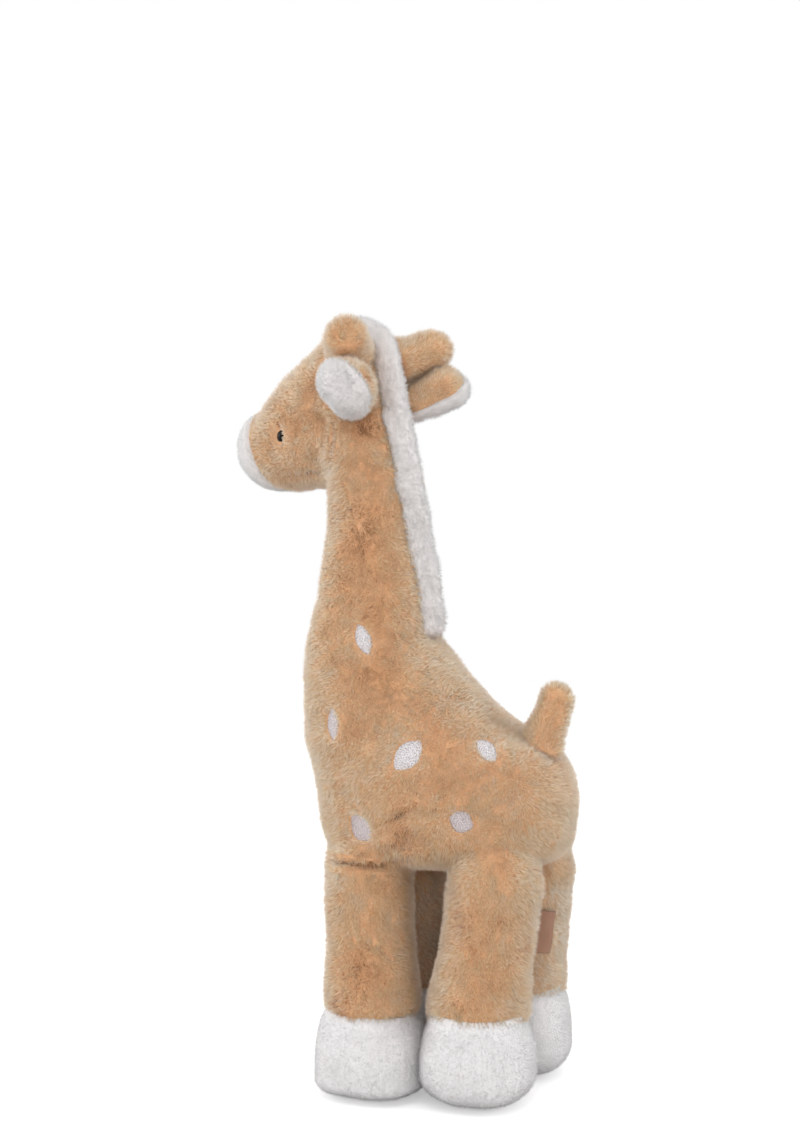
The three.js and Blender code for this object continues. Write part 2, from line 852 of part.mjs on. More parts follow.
function makeEar(sideName, side) {
  const group = placedGroup(earPlace(side));
  group.name = `ear_seam_${sideName}`;
  group.add(piece(`ear_back_${sideName}`, earBackForm(), tanPlush()));
  const lining = earForm().intersect(liningSide(seamGap));
  group.add(piece(`ear_lining_${sideName}`, lining, whitePlush()));
  return group;
}

function makeHorn(sideName, side) {
  const group = placedGroup(hornPlace(side));
  group.name = `horn_seam_${sideName}`;
  group.add(piece(`horn_${sideName}`, hornForm(), tanPlush()));
  return group;
}

// Where an eye sits: +Z looks out of the side of the face.
function eyePlace(side) {
  const out = new THREE.Vector3(side, -eyeForwardShare, eyeUpShare).normalize();
  const turn = new THREE.Quaternion().setFromUnitVectors(new THREE.Vector3(0, 0, 1), out);
  const place = new THREE.Matrix4().makeRotationFromQuaternion(turn);
  return place.setPosition(side * eyeX, eyeY, eyeHeight);
}

function eyeSocket(side) {
  const profile = [
    new THREE.Vector2(0, -eyeShankLength - seamGap),
    new THREE.Vector2(eyeShankRadius + seamGap, -eyeShankLength - seamGap),
    new THREE.Vector2(eyeShankRadius + seamGap, -seamGap),
    new THREE.Vector2(eyeRadius + seamGap, -seamGap),
    new THREE.Vector2(eyeRadius + seamGap, socketReach),
    new THREE.Vector2(0, socketReach),
  ];
  const socket = new THREE.LatheGeometry(profile, 14);
  socket.rotateX(Math.PI / 2);
  return moved(solidOf(socket), eyePlace(side));
}

function makeHead() {
  const group = new THREE.Group();
  group.name = 'head_turn';
  group.position.set(0, neckAxisSetback, jawHeight);
  group.rotation.z = headTurn;
  let head = headForm().subtract(neckDome(seamGap));
  const muzzle = head.intersect(muzzleSide(0));
  head = head.subtract(muzzleSide(-seamGap)).subtract(hornSeats(seamGap));
  for (const [sideName, side] of [['left', 1], ['right', -1]]) {
    const earSeat = seatSolid(earSeatRadius, earSeatHalfWidth, seamGap);
    head = head.subtract(moved(earSeat, earPlace(side))).subtract(eyeSocket(side));
    group.add(makeEar(sideName, side), makeHorn(sideName, side));
    const eye = piece(`eye_${sideName}`, eyeSolid(), darkGloss());
    const eyeGroup = placedGroup(eyePlace(side));
    eyeGroup.add(eye);
    group.add(eyeGroup);
  }
  group.add(piece('head', head, tanPlush()), piece('muzzle', muzzle, whitePlush()));
  group.add(piece('mane_head', headManeForm(), whitePlush()));
  return group;
}

const giraffe = new THREE.Group();
giraffe.add(makeBody(), makeLegs(), makeTail(), makeHead());

// The origin goes below the middle of everything that stands on the floor.
const extent = new THREE.Box3().setFromObject(giraffe, true);
const middle = extent.getCenter(new THREE.Vector3());
giraffe.position.set(-middle.x, -middle.y, 0);

export default giraffe;
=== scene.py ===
import json
import math
from collections import namedtuple

import bmesh
import bpy
import numpy as np
from mathutils import Matrix, Vector
from mathutils.bvhtree import BVHTree
from mathutils.kdtree import KDTree


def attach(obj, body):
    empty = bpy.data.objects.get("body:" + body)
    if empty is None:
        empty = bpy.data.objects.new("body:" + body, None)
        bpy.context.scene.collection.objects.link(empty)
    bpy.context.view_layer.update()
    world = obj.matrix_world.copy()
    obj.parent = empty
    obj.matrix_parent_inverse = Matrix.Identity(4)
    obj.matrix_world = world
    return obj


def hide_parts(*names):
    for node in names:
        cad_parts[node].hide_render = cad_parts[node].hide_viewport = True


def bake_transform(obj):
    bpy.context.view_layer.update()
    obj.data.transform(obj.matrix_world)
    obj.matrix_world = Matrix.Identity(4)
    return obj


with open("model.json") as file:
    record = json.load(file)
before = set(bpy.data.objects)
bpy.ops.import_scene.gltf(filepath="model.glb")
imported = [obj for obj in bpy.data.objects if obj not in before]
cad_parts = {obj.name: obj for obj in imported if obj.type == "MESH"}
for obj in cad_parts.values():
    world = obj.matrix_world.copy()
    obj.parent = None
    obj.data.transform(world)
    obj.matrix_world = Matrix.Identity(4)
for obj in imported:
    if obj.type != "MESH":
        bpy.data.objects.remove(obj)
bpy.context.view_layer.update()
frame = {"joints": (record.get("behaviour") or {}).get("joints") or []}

# Everything below is in millimetres, in the giraffe's own frame: it faces -Y, its left side is
# +X, and the head turns about the upright line at x = 0, y = NECK_SETBACK. to_row() turns that
# into metres in the row's frame.
TWIST = next(j for j in frame["joints"] if j["name"] == "neck_twist")
NECK_SETBACK = -40.0
SHIFT = TWIST["pos_m"][1] * 1000 - NECK_SETBACK
HEAD_TURN = math.radians(-22)
SIDES = {1: "left", -1: "right"}

# How far the fabric lies inside the outline that the tips of the pile make.
PILE = 3.5
# The white pile is shorter, so its fabric lies this much further out.
WHITE_RAISE = 2.5
# How far the tips of the leaning tan pile are from the fabric, and how long its spikes are.
TIPS, TAN_LENGTH = 3.2, 4.6
# Spikes on each square millimetre, and the size of the skin's voxels.
DENSITY, VOXEL = 2.2, 1.6

BELLY, TORSO_HEIGHT, TORSO_HALF_LENGTH, TORSO_HALF_WIDTH = 122.0, 143.0, 76.0, 55.0
BELLY_DEPTH = 22
NECK_BASE, NECK_HEIGHT, JAW = 265.0, 73.0, 338.0
HOOF_HEIGHT, HOOF_HALF_WIDTH, HOOF_HALF_LENGTH = 45.0, 32, 31.7
LEG_TOP, LEG_DOME, LEG_CUT, HIP_SPREAD = 130, 16, 119.0, 28.5
HEAD_HEIGHT, HEAD_DOME, HEAD_HALF_WIDTH, HEAD_HALF_LENGTH = 71, 22, 30, 29
SNOUT_LENGTH, SNOUT_HEIGHT = 72, 88
EAR_LENGTH, EAR_HALF_WIDTH, EAR_HALF_DEPTH, EAR_TIP = 38, 18.5, 13, 0.38
HORN_LENGTH, HORN_RADIUS = 34, 14.3
TAIL_LENGTH, TAIL_RADIUS = 39.5, 11.5
LEAF_LENGTH, LEAF_WIDTH = 19, 13
LABEL_WIDE, LABEL_HIGH, LABEL_LEVEL = 19.0, 24.0, 87.0
EYE_RADIUS, EYE_BACK, EYE_EDGE, EYE_DOME = 4.8, -3.0, -1.2, 4.2
# The spikes' radius, tan and white, how deep their roots are, and how far they stay off the floor.
TAN_RADIUS, WHITE_RADIUS, ROOT_DEPTH, FLOOR_GAP = 0.2, 0.13, 0.5, 0.15
# The neck's radius at the jaw, and places in the head's own frame, and the tail's in the torso's.
NECK_RADIUS = 28
EYE_PLACE, EAR_ROOT, HORN_ROOT = (27.0, -54, 31.5), (25, 4, 47.5), (20.5, 0, 75)
MUZZLE_SEAM, MUZZLE_SLOPE = (0, -81.5, 22), 20
TAIL_ROOT, TAIL_SLOPE = (0, 58.5, BELLY + 69), -22

# Rows of shares of those sizes. Torso: height, front, back, half width. Neck: the same, and
# squareness. Legs: height, lean, radius. Hooves and cranium: height, (place along Y,) half width
# and half length. Snout: length, half width, brow, jaw. The rest: length, then half widths.
TORSO_SHARES = [
    (0.14, -0.895, 1.02, 0.955),
    (0.25, -0.92, 1.04, 0.985),
    (0.345, -0.95, 1.02, 0.98),
    (0.44, -0.99, 0.91, 0.96),
    (0.53, -1.025, 0.65, 0.935),
    (0.62, -1.03, 0.43, 0.905),
    (0.75, -1.035, 0.18, 0.85),
    (0.9, -1.01, -0.05, 0.76),
    (1.0, -0.975, -0.07, 0.69),
]
NECK_SHARES = [
    (0.0, -0.96, -0.07, 0.69, 1.0),
    (0.13, -0.935, -0.075, 0.655, 0.8),
    (0.5, -0.905, -0.135, 0.57, 0.3),
]
LEG_SHARES = [
    (0, 0, 1.1),
    (0.12, 0.1, 1.06),
    (0.4, 0.45, 1.0),
    (0.7, 0.8, 0.99),
    (0.86, 1, 1.02),
    (1, 1, 0.96),
]
HOOF_SHARES = [(0.25, 1.0, 1.0), (0.6, 0.99, 0.985), (0.85, 0.94, 0.92), (1, 0.9, 0.85)]
CRANIUM_SHARES = [
    (0, 0, 0.93, 0.965),
    (0.15, -0.08, 0.97, 0.99),
    (0.48, -0.33, 1, 1.02),
    (0.7, -0.5, 1, 1.03),
    (1, -0.58, 0.9, 0.96),
]
SNOUT_SHARES = [
    (0, 0.93, 1.05, 0.006),
    (0.3, 1, 1.0, 0.006),
    (0.57, 1.01, 0.89, 0.004),
    (0.83, 0.94, 0.725, 0.0),
    (1, 0.84, 0.61, 0.0),
]
EAR_SHARES = [(0, 0.72, 0.74), (0.18, 0.82, 0.83), (0.42, 0.97, 0.95), (0.62, 1, 1)]
HORN_SHARES = [(0, 1.1), (0.12, 1.05), (0.3, 1.01), (0.58, 1)]
TAIL_SHARES = [(0, 1.28), (0.14, 1.22), (0.35, 1.1), (0.75, 0.97)]
# Place along the torso, height, size, turn, and how far the leaf faces ahead.
SPOT_SHARES = [
    (-0.33, 0.9, 0.92, 0.58, 0.1),
    (-0.38, 0.58, 0.95, 0.55, 0.2),
    (-0.01, 0.465, 1.08, 0.27, 0),
    (0.48, 0.485, 0.8, 0.8, -0.06),
    (-0.3, 0.195, 0.9, 0.7, 0.08),
    (0.37, 0.225, 0.8, 0.88, -0.02),
]
# Half a leaf's outline, as two curves: the point that each bends towards, and its end.
LEAF_SHARES = [(-1 / 6, -0.75, 0.25, -0.42), (0.45, -0.25, 0.5, 0.0)]


def matrix_of(rotation, place):
    m = np.eye(4)
    m[:3, :3] = rotation
    m[:3, 3] = place
    return m


def turn_z(angle):
    c, s = math.cos(angle), math.sin(angle)
    return np.array([[c, -s, 0], [s, c, 0], [0, 0, 1]], float)


def turn_x(angle):
    c, s = math.cos(angle), math.sin(angle)
    return np.array([[1, 0, 0], [0, c, -s], [0, s, c]], float)


def moved(points, matrix):
    return points @ matrix[:3, :3].T + matrix[:3, 3]


def unit(v):
    return v / np.maximum(np.linalg.norm(v, axis=-1, keepdims=True), 1e-9)


HEAD = matrix_of(turn_z(HEAD_TURN), (0, NECK_SETBACK, JAW))


def to_row(points):
    return (np.asarray(points, float) + (0, SHIFT, 0)) / 1000


def lengths(vectors):
    return np.linalg.norm(vectors, axis=-1)


def bell(values, width):
    """1 where the value is 0, falling smoothly to nothing at about twice this width."""
    return np.exp(-((values / width) ** 2))


def pushed(points, normals, by):
    """Points moved out along their normals."""
    return points + normals * by[:, None]


def between(values, start, end):
    """How far values are on the way from one to another, from 0 to 1."""
    return np.clip((values - start) / (end - start), 0, 1)


def flat_on(vectors, normals):
    """The part of each vector that lies along the skin."""
    return vectors - normals * (vectors * normals).sum(1)[:, None]


def turned_sides(level, turn):
    """The two sides of an upright patch, turned by this much from level."""
    up, c, s = np.array([0, 0, 1.0]), math.cos(turn), math.sin(turn)
    return level * c + up * s, up * c - level * s


def waves(points, size, seed, count=28):
    """Smooth noise with features of about this size, of mean 0 and spread 1."""
    rng = np.random.default_rng(seed)
    ways = unit(rng.normal(size=(count, 3)))
    pace = 2 * np.pi / (size * 1.6) * rng.uniform(0.55, 1.45, count)
    phase = rng.uniform(0, 2 * np.pi, count)
    total = np.zeros(len(points))
    for way, k, p in zip(ways, pace, phase):
        total += np.cos(points @ (way * k) + p)
    return total / math.sqrt(count / 2)


# ---- Stuffed forms ----


def curve_through(values, steps):
    """Rows read from a smooth curve through the rows given."""
    values = np.asarray(values, float)
    ends = np.vstack([2 * values[0] - values[1], values, 2 * values[-1] - values[-2]])
    t = np.linspace(0, len(values) - 1, steps + 1)
    i = np.minimum(t.astype(int), len(values) - 2)
    w = (t - i)[:, None]
    a, b, c, d = (ends[i + k] for k in range(4))
    cubic = 3 * b - a - 3 * c + d
    return 0.5 * (2 * b + (c - a) * w + (2 * a - 5 * b + 4 * c - d) * w**2 + cubic * w**3)


def level_ring(row, sides, scale=1.0, rise=0.0):
    angle = np.arange(sides) * 2 * np.pi / sides
    c, s = np.cos(angle), np.sin(angle)
    power = 2 / row[5]
    x = row[0] + np.sign(c) * np.abs(c) ** power * row[3] * scale
    y = row[1] + np.sign(s) * np.abs(s) ** power * row[4] * scale
    return np.stack([x, y, np.full(sides, row[2] + rise)], 1)


def tube_faces(rings, sides):
    """Faces round this many rings, and over their ends to the two points after the rings."""
    faces = []
    for r in range(rings - 1):
        a = r * sides + np.arange(sides)
        b = r * sides + (np.arange(sides) + 1) % sides
        faces += np.stack([a, b, b + sides, a + sides], 1).tolist()
    first, top = rings * sides, (rings - 1) * sides
    for side in range(sides):
        after = (side + 1) % sides
        faces += [[first, after, side], [first + 1, top + side, top + after]]
    return faces


def stuffed(rows, low=0.0, high=0.0, edge=2.0, grow=0.0, sides=72, steps=44, end_steps=14):
    """A closed form that swells and tapers along +Z, as points and faces.

    Each row is a ring: its middle, its half width, its half length and its squareness.
    """
    rows = curve_through(rows, steps)
    rows[:, 3:5] += grow
    low = low + grow if low > 0 else 0
    high = high + grow if high > 0 else 0
    rings = [level_ring(row, sides) for row in rows]
    for step in range(1, end_steps):
        angle = step / end_steps * math.pi / 2
        scale, rise = math.cos(angle) ** (2 / edge), math.sin(angle) ** (2 / edge)
        if high > 0:
            rings.append(level_ring(rows[-1], sides, scale, high * rise))
        if low > 0:
            rings.insert(0, level_ring(rows[0], sides, scale, -low * rise))
    tips = [rows[0][:3] - (0, 0, low), rows[-1][:3] + (0, 0, high)]
    return np.vstack(rings + tips), tube_faces(len(rings), sides)


def at_height(row, z):
    return (*row[:2], z, *row[3:])


def trunk_row(z, front, back, width, square):
    """A ring of the torso or the neck."""
    y, half = (front + back) / 2 * TORSO_HALF_LENGTH, (back - front) / 2 * TORSO_HALF_LENGTH
    return (0, y, z, width * TORSO_HALF_WIDTH, half, square)


def torso_form(grow):
    rows = [trunk_row(BELLY + h * TORSO_HEIGHT, *shares, 2.4) for h, *shares in TORSO_SHARES]
    rows[0] = at_height(rows[0], BELLY + BELLY_DEPTH)
    return stuffed(rows, low=BELLY_DEPTH, high=6, edge=2.6, grow=grow)


def neck_rows():
    rows = [
        trunk_row(NECK_BASE + h * NECK_HEIGHT, *shares, 2 + 0.4 * square)
        for h, *shares, square in NECK_SHARES
    ]
    return [*rows, (0, NECK_SETBACK, JAW, NECK_RADIUS, NECK_RADIUS, 2)]


def neck_form(grow):
    rows = neck_rows()
    low, high = at_height(rows[0], NECK_BASE - 12), at_height(rows[-1], JAW + 10)
    return stuffed([low, *rows, high], grow=grow)


# A leg's radius, the depth of its hoof's rounded sole, where its hip and foot are, and the
# height of its sock.
Leg = namedtuple("Leg", "name side radius sole hip_y spread foot_y sock")
LEGS = [
    Leg("front_left", 1, 25.3, 11, -32, 36, -26.5, 47),
    Leg("front_right", -1, 25.3, 11, -32, 36, -26.5, 48),
    Leg("hind_left", 1, 26.3, 19, 42, 32.5, 33.5, 50),
    Leg("hind_right", -1, 26.3, 19, 44.5, 32.5, 36, 52),
]


def leg_place(leg, lean):
    """The middle of a leg, at a share of its lean from its foot to its hip."""
    x = leg.side * (leg.spread + (HIP_SPREAD - leg.spread) * lean)
    return x, leg.foot_y + (leg.hip_y - leg.foot_y) * lean


def leg_axis(leg, z):
    """The middle of a leg at a height."""
    share = (z - HOOF_HEIGHT) / (LEG_TOP - HOOF_HEIGHT)
    return leg_place(leg, np.interp(share, [s[0] for s in LEG_SHARES], [s[1] for s in LEG_SHARES]))


def leg_form(leg, grow):
    rows = []
    for height, lean, radius in LEG_SHARES:
        z, size = HOOF_HEIGHT + height * (LEG_TOP - HOOF_HEIGHT), radius * leg.radius
        rows.append((*leg_place(leg, lean), z, size, size, 2))
    return stuffed(rows, high=LEG_DOME, grow=grow)


def hoof_form(leg, grow):
    square, x, shoulder = 2.3, leg.side * leg.spread, leg.sock - 4.5
    rows = [
        (x, leg.foot_y, h * shoulder, w * HOOF_HALF_WIDTH, l * HOOF_HALF_LENGTH, square)
        for h, w, l in HOOF_SHARES
    ]
    rows[0] = at_height(rows[0], leg.sole - 0.5)
    collar = leg.radius * 1.02
    rows.append((*leg_axis(leg, leg.sock), leg.sock, collar, collar, 2))
    return stuffed(rows, low=leg.sole, edge=square, grow=grow, sides=96, steps=36)


def cranium_form(grow):
    rows = [
        (0, y * HEAD_HALF_LENGTH, h * HEAD_HEIGHT, w * HEAD_HALF_WIDTH, l * HEAD_HALF_LENGTH, 2)
        for h, y, w, l in CRANIUM_SHARES
    ]
    points, faces = stuffed([at_height(rows[0], -8), *rows], high=HEAD_DOME, grow=grow)
    return moved(points, HEAD), faces


def snout_form(grow):
    rows = []
    for length, width, brow, jaw in SNOUT_SHARES:
        y, half = (brow + jaw) / 2 * SNOUT_HEIGHT, (brow - jaw) / 2 * SNOUT_HEIGHT
        rows.append((0, y, length * SNOUT_LENGTH, width * HEAD_HALF_WIDTH, half, 2.1))
    points, faces = stuffed(rows, high=26, grow=grow + 0.8)
    place = matrix_of(turn_x(math.pi / 2), (0, -10, 0))
    return moved(moved(points, place), HEAD), faces


def limb_place(root, side, lift, sweep, roll=0):
    """+Z along the piece, +Y its upper or back side, +X the line that it bends about."""
    lift, sweep, angle = math.radians(lift), math.radians(sweep), -side * math.radians(roll)
    along = np.array([
        side * math.cos(lift) * math.cos(sweep), math.cos(lift) * math.sin(sweep), math.sin(lift),
    ])
    up = unit(np.array([0, 0, 1]) - along * along[2])
    upper = up * math.cos(angle) + np.cross(along, up) * math.sin(angle)
    rotation = np.stack([np.cross(upper, along), upper, along], 1)
    return HEAD @ matrix_of(rotation, (side * root[0], root[1], root[2]))


def ear_place(side):
    lift, roll = (15, 46) if side > 0 else (27, 34)
    return limb_place(EAR_ROOT, side, lift, 42, roll)


def horn_place(side):
    return limb_place(HORN_ROOT, side, 18.5, 38)


TAIL = matrix_of(turn_x(math.radians(TAIL_SLOPE)), TAIL_ROOT)


# ---- Meshes ----


def new_object(name, data):
    obj = bpy.data.objects.new(name, data)
    bpy.context.collection.objects.link(obj)
    return obj


def mesh_object(name, form, place=None):
    """A smooth mesh with a form's points and faces, moved to its place."""
    points, faces = form
    if place is not None:
        points = moved(points, place)
    mesh = bpy.data.meshes.new(name)
    mesh.from_pydata(to_row(points).tolist(), [], faces)
    mesh.polygons.foreach_set("use_smooth", np.ones(len(faces), bool))
    return new_object(name, mesh)


def read(items, name, width, kind=np.float32):
    """One property of all of a mesh's vertices, edges or corners, as rows of numbers."""
    found = np.empty(len(items) * width, kind)
    items.foreach_get(name, found)
    return found.reshape(-1, width)


def points_of(mesh):
    return read(mesh.vertices, "co", 3).astype(float) * 1000 - (0, SHIFT, 0)


def put_points(mesh, points):
    mesh.vertices.foreach_set("co", to_row(points).astype(np.float32).ravel())
    mesh.update()


def normals_of(mesh):
    return read(mesh.vertex_normals, "vector", 3).astype(float)


def fused(name, forms):
    """One even skin over overlapping closed forms."""
    points, faces, start = [], [], 0
    for form_points, form_faces in forms:
        points.append(form_points)
        faces += [[index + start for index in face] for face in form_faces]
        start += len(form_points)
    obj = mesh_object(name, (np.vstack(points), faces))
    remesh = obj.modifiers.new("Remesh", "REMESH")
    remesh.mode = "VOXEL"
    remesh.voxel_size = VOXEL / 1000
    remesh.use_smooth_shade = True
    bpy.context.view_layer.update()
    graph = bpy.context.evaluated_depsgraph_get()
    mesh = bpy.data.meshes.new_from_object(obj.evaluated_get(graph))
    bpy.data.objects.remove(obj)
    return new_object(name, mesh)


def relaxed(mesh, rounds):
    """The mesh's points after each has moved half way to its neighbours, several times."""
    points = points_of(mesh)
    a, b = read(mesh.edges, "vertices", 2, np.int32).T
    count = np.bincount(np.r_[a, b], minlength=len(points)).clip(1)
    for _ in range(rounds):
        mean = np.stack([
            np.bincount(a, points[b, k], len(points)) + np.bincount(b, points[a, k], len(points))
            for k in range(3)
        ], 1) / count[:, None]
        points += (mean - points) / 2
    return points


def part_of(whole, name, planes):
    """The part of a skin that lies in front of each plane, closed where it is cut."""
    bm = bmesh.new()
    bm.from_mesh(whole.data)
    for place, normal in planes:
        geometry = bm.verts[:] + bm.edges[:] + bm.faces[:]
        cut = bmesh.ops.bisect_plane(
            bm, geom=geometry, dist=1e-7, plane_co=Vector(to_row(place)),
            plane_no=Vector(normal), clear_inner=True,
        )
        rim = [e for e in cut["geom_cut"] if isinstance(e, bmesh.types.BMEdge) and e.is_boundary]
        if rim:
            for face in bmesh.ops.holes_fill(bm, edges=rim, sides=0)["faces"]:
                face.smooth = False
                for edge in face.edges:
                    edge.smooth = False
    mesh = bpy.data.meshes.new(name)
    bm.to_mesh(mesh)
    bm.free()
    return new_object(name, mesh)


def nearest_surface(obj, lift=0.0):
    """A skin to cast rays at and to find the nearest place on, lifted along its normals."""
    mesh = obj.data
    points = points_of(mesh) + normals_of(mesh) * lift
    return BVHTree.FromPolygons(points.tolist(), [tuple(p.vertices) for p in mesh.polygons])


def mapped(mesh, name, places):
    """Gives each corner of a mesh its point's place on a flat map."""
    corners = read(mesh.loops, "vertex_index", 1, np.int32)[:, 0]
    layer = mesh.uv_layers.new(name=name)
    layer.data.foreach_set("uv", np.array(places)[corners].astype(np.float32).ravel())


def thickened(obj, thickness):
    obj.modifiers.new("Thickness", "SOLIDIFY").thickness = thickness


def reshape(obj, change, *values):
    """Moves a mesh's points to where a function of them and their normals says."""
    put_points(obj.data, change(points_of(obj.data), normals_of(obj.data), *values))


def uneven(points, normals, amount, size, seed):
    """Uneven stuffing of a small piece."""
    return pushed(points, normals, amount * waves(points, size, seed))


# ---- Camera ----

# The photograph's size and focal length in pixels, and the camera's direction across the floor,
# distance and height.
FOCAL, WIDE, HIGH = 1667.0, 800, 1134
CAMERA_X, CAMERA_Y, CAMERA_FAR, CAMERA_HIGH = 0.94, 0.342, 950, 277.0
CAMERA = np.array([CAMERA_X * CAMERA_FAR, CAMERA_Y * CAMERA_FAR, CAMERA_HIGH])
AIM_YAW = math.atan2(-CAMERA_Y, -CAMERA_X) + math.atan(40 / FOCAL)
AIM_PITCH = math.atan(25 / FOCAL)
FORWARD = np.array([
    math.cos(AIM_YAW) * math.cos(AIM_PITCH), math.sin(AIM_YAW) * math.cos(AIM_PITCH),
    math.sin(AIM_PITCH),
])
RIGHT = unit(np.cross(FORWARD, (0, 0, 1)))
UP = np.cross(RIGHT, FORWARD)


def make_camera():
    data = bpy.data.cameras.new("camera")
    data.sensor_fit = "VERTICAL"
    data.sensor_height = 24
    data.lens = data.sensor_height * FOCAL / HIGH
    data.clip_start = 0.05
    camera = new_object("camera", data)
    rotation = Matrix([[RIGHT[k], UP[k], -FORWARD[k]] for k in range(3)])
    camera.matrix_world = Matrix.Translation(Vector(to_row(CAMERA))) @ rotation.to_4x4()
    bpy.context.scene.camera = camera


def under_pixel(surface, x, y):
    """The point of a surface that shows at this place in the photograph."""
    way = unit(FORWARD + RIGHT * (x - WIDE / 2) / FOCAL - UP * (y - HIGH / 2) / FOCAL)
    hit = surface.ray_cast(Vector(CAMERA), Vector(way))[0]
    return None if hit is None else np.array(hit)


# ---- Sculpting ----


def line_distance(points, path):
    """How far each point is from a line through the path, and the share of the line there."""
    path = np.asarray(path, float)
    best = np.full(len(points), 1e9)
    where = np.zeros(len(points))
    for index in range(len(path) - 1):
        a, d = path[index], path[index + 1] - path[index]
        t = np.clip(((points - a) @ d) / max(d @ d, 1e-9), 0, 1)
        far = lengths(points - a - t[:, None] * d)
        closer = far < best
        best = np.where(closer, far, best)
        where = np.where(closer, (index + t) / (len(path) - 1), where)
    return best, where


def fading(where, goes_on, power):
    """How strong a fold is along its line; one that goes on past its start doesn't fade there."""
    if goes_on:
        where = 0.5 + where / 2
    return np.sin(np.pi * np.clip(where, 0.05, 0.95)) ** power


def crease(points, normals, path, depth, width, goes_on=False):
    """Presses a soft fold into the skin along a line, deepest in its middle."""
    far, where = line_distance(points, path)
    fade = fading(where, goes_on, 0.5)
    press = bell(far, width) - 0.35 * bell(far - 2.2 * width, width)
    return pushed(points, normals, -depth * press * fade)


def dimple(points, normals, centre, depth, width):
    return pushed(points, normals, -depth * bell(lengths(points - centre), width))


def mirrored(path):
    return [np.array([-p[0], p[1], p[2]]) for p in path]


def leaf_outline(length, width):
    """The outline of a leaf with two pointed ends."""
    start = np.array([-length / 2, 0.0])
    line = []
    for way in (1, -1):
        for near_x, near_y, end_x, end_y in LEAF_SHARES:
            near = np.array([way * near_x * length, way * near_y * width])
            end = np.array([way * end_x * length, way * end_y * width])
            for step in range(10):
                t = step / 10
                line.append(start * (1 - t) ** 2 + near * 2 * t * (1 - t) + end * t * t)
            start = end
    return np.array(line)


# Each leaf in the photograph beside a plain leaf: its breadth, how much further it is turned,
# its length, and how much higher it lies.
SPOT_LOOKS = [
    (0.64, 0.07, 1.13, 0.0),
    (0.64, 0.0, 1.1, -1.2),
    (0.94, 0.0, 1.06, 0.0),
    (0.78, -0.03, 1.04, 0.0),
    (1.2, 0.07, 1.04, -2.5),
    (1.15, 0.0, 0.92, 0.0),
]


class Spot:
    """Where one embroidered leaf lies: a flat frame that faces out of the torso."""

    def __init__(self, shares, side, index):
        along, height, size, turn, face = shares
        breadth, more, longer, higher = SPOT_LOOKS[index - 1]
        self.name = f"spot_{SIDES[side]}_{index}"
        angle = side * math.pi / 2 - side * face * math.pi
        self.out = np.array([math.sin(angle), -math.cos(angle), 0])
        level = np.array([math.cos(angle), math.sin(angle), 0])
        self.u, self.v = turned_sides(level, side * (turn + more) * math.pi)
        height = BELLY + height * TORSO_HEIGHT + higher
        self.middle = np.array([side * 0.33 * TORSO_HALF_WIDTH, along * TORSO_HALF_LENGTH, height])
        self.outline = leaf_outline(LEAF_LENGTH * size * longer, LEAF_WIDTH * size * breadth)

    def gap(self, points):
        """How far points are outside the leaf's edge, below 0 inside it, and 99 behind it."""
        rel = points - self.middle
        flat = np.stack([rel @ self.u, rel @ self.v], 1)
        radius = lengths(self.outline)
        angle = np.arctan2(self.outline[:, 1], self.outline[:, 0])
        order = np.argsort(angle)
        edge = np.interp(
            np.arctan2(flat[:, 1], flat[:, 0]), angle[order], radius[order], period=2 * np.pi,
        )
        return np.where(rel @ self.out > 0, lengths(flat) - edge, 99.0)


SPOTS = [Spot(shares, side, i + 1) for side in SIDES for i, shares in enumerate(SPOT_SHARES)]


def eye_middle(side):
    return moved(np.array([(side * EYE_PLACE[0], *EYE_PLACE[1:])]), HEAD)[0]


def muzzle_seam():
    """A place on the seam between the face and the white muzzle, and the way forward from it."""
    ahead = HEAD[:3, :3] @ (turn_x(math.radians(MUZZLE_SLOPE)) @ np.array([0, -1.0, 0]))
    return moved(np.array([MUZZLE_SEAM]), HEAD)[0], ahead


def raised(points, normals, place, ahead):
    """Lifts the skin in front of a seam, where the white plush is."""
    share = between((points - place) @ ahead, 0, 1.4)
    return pushed(points, normals, WHITE_RAISE * share)


def build_skin():
    forms = [torso_form(1.2 - PILE), neck_form(0.6 - PILE), cranium_form(-PILE), snout_form(-PILE)]
    forms += [leg_form(leg, 1.0 - PILE) for leg in LEGS]
    whole = fused("whole_skin", forms)
    put_points(whole.data, relaxed(whole.data, 22))
    return whole


def seen_path(surface, pixels):
    """The places on the skin under what shows in the photograph at the tips of the pile."""
    found = []
    for pixel in pixels:
        place = under_pixel(surface, *pixel)
        if place is not None:
            found.append(place - np.array(surface.find_nearest(Vector(place))[1]) * TIPS)
    return found


# Folds of the skin, as lines of places in the photograph: depth, width, how dark the painted
# shade along the fold is, and whether the hidden side of the toy has the same fold.
FOLDS = [
    ([(318, 855), (325.5, 859), (334, 863), (355, 866), (384, 867), (410, 863)],
     2.6, 1.7, 1.0, True),
    ([(318, 847), (325.5, 850), (340, 858), (352, 862), (372, 865)], 1.8, 1.5, 0.8, True),
    ([(378, 852), (392, 850), (404, 846)], 0.9, 2.0, 0.2, False),
    ([(331, 423), (330, 436), (328, 448), (326, 463)], 1.8, 1.5, 1.4, True),
    ([(281, 480), (295, 479), (316, 476), (330, 470)], 1.3, 2.4, 0.25, True),
    ([(372, 829), (388, 822), (402, 815), (414, 809)], 1.2, 2.4, 0.35, False),
    ([(418, 817), (434, 813), (449, 811)], 0.9, 2.2, 0.25, False),
    ([(353, 395), (366, 411), (381, 408)], 1.4, 2.6, 0.5, False),
    ([(274, 422), (276, 429), (278, 438), (281, 449)], 1.0, 1.3, 0.9, True),
]
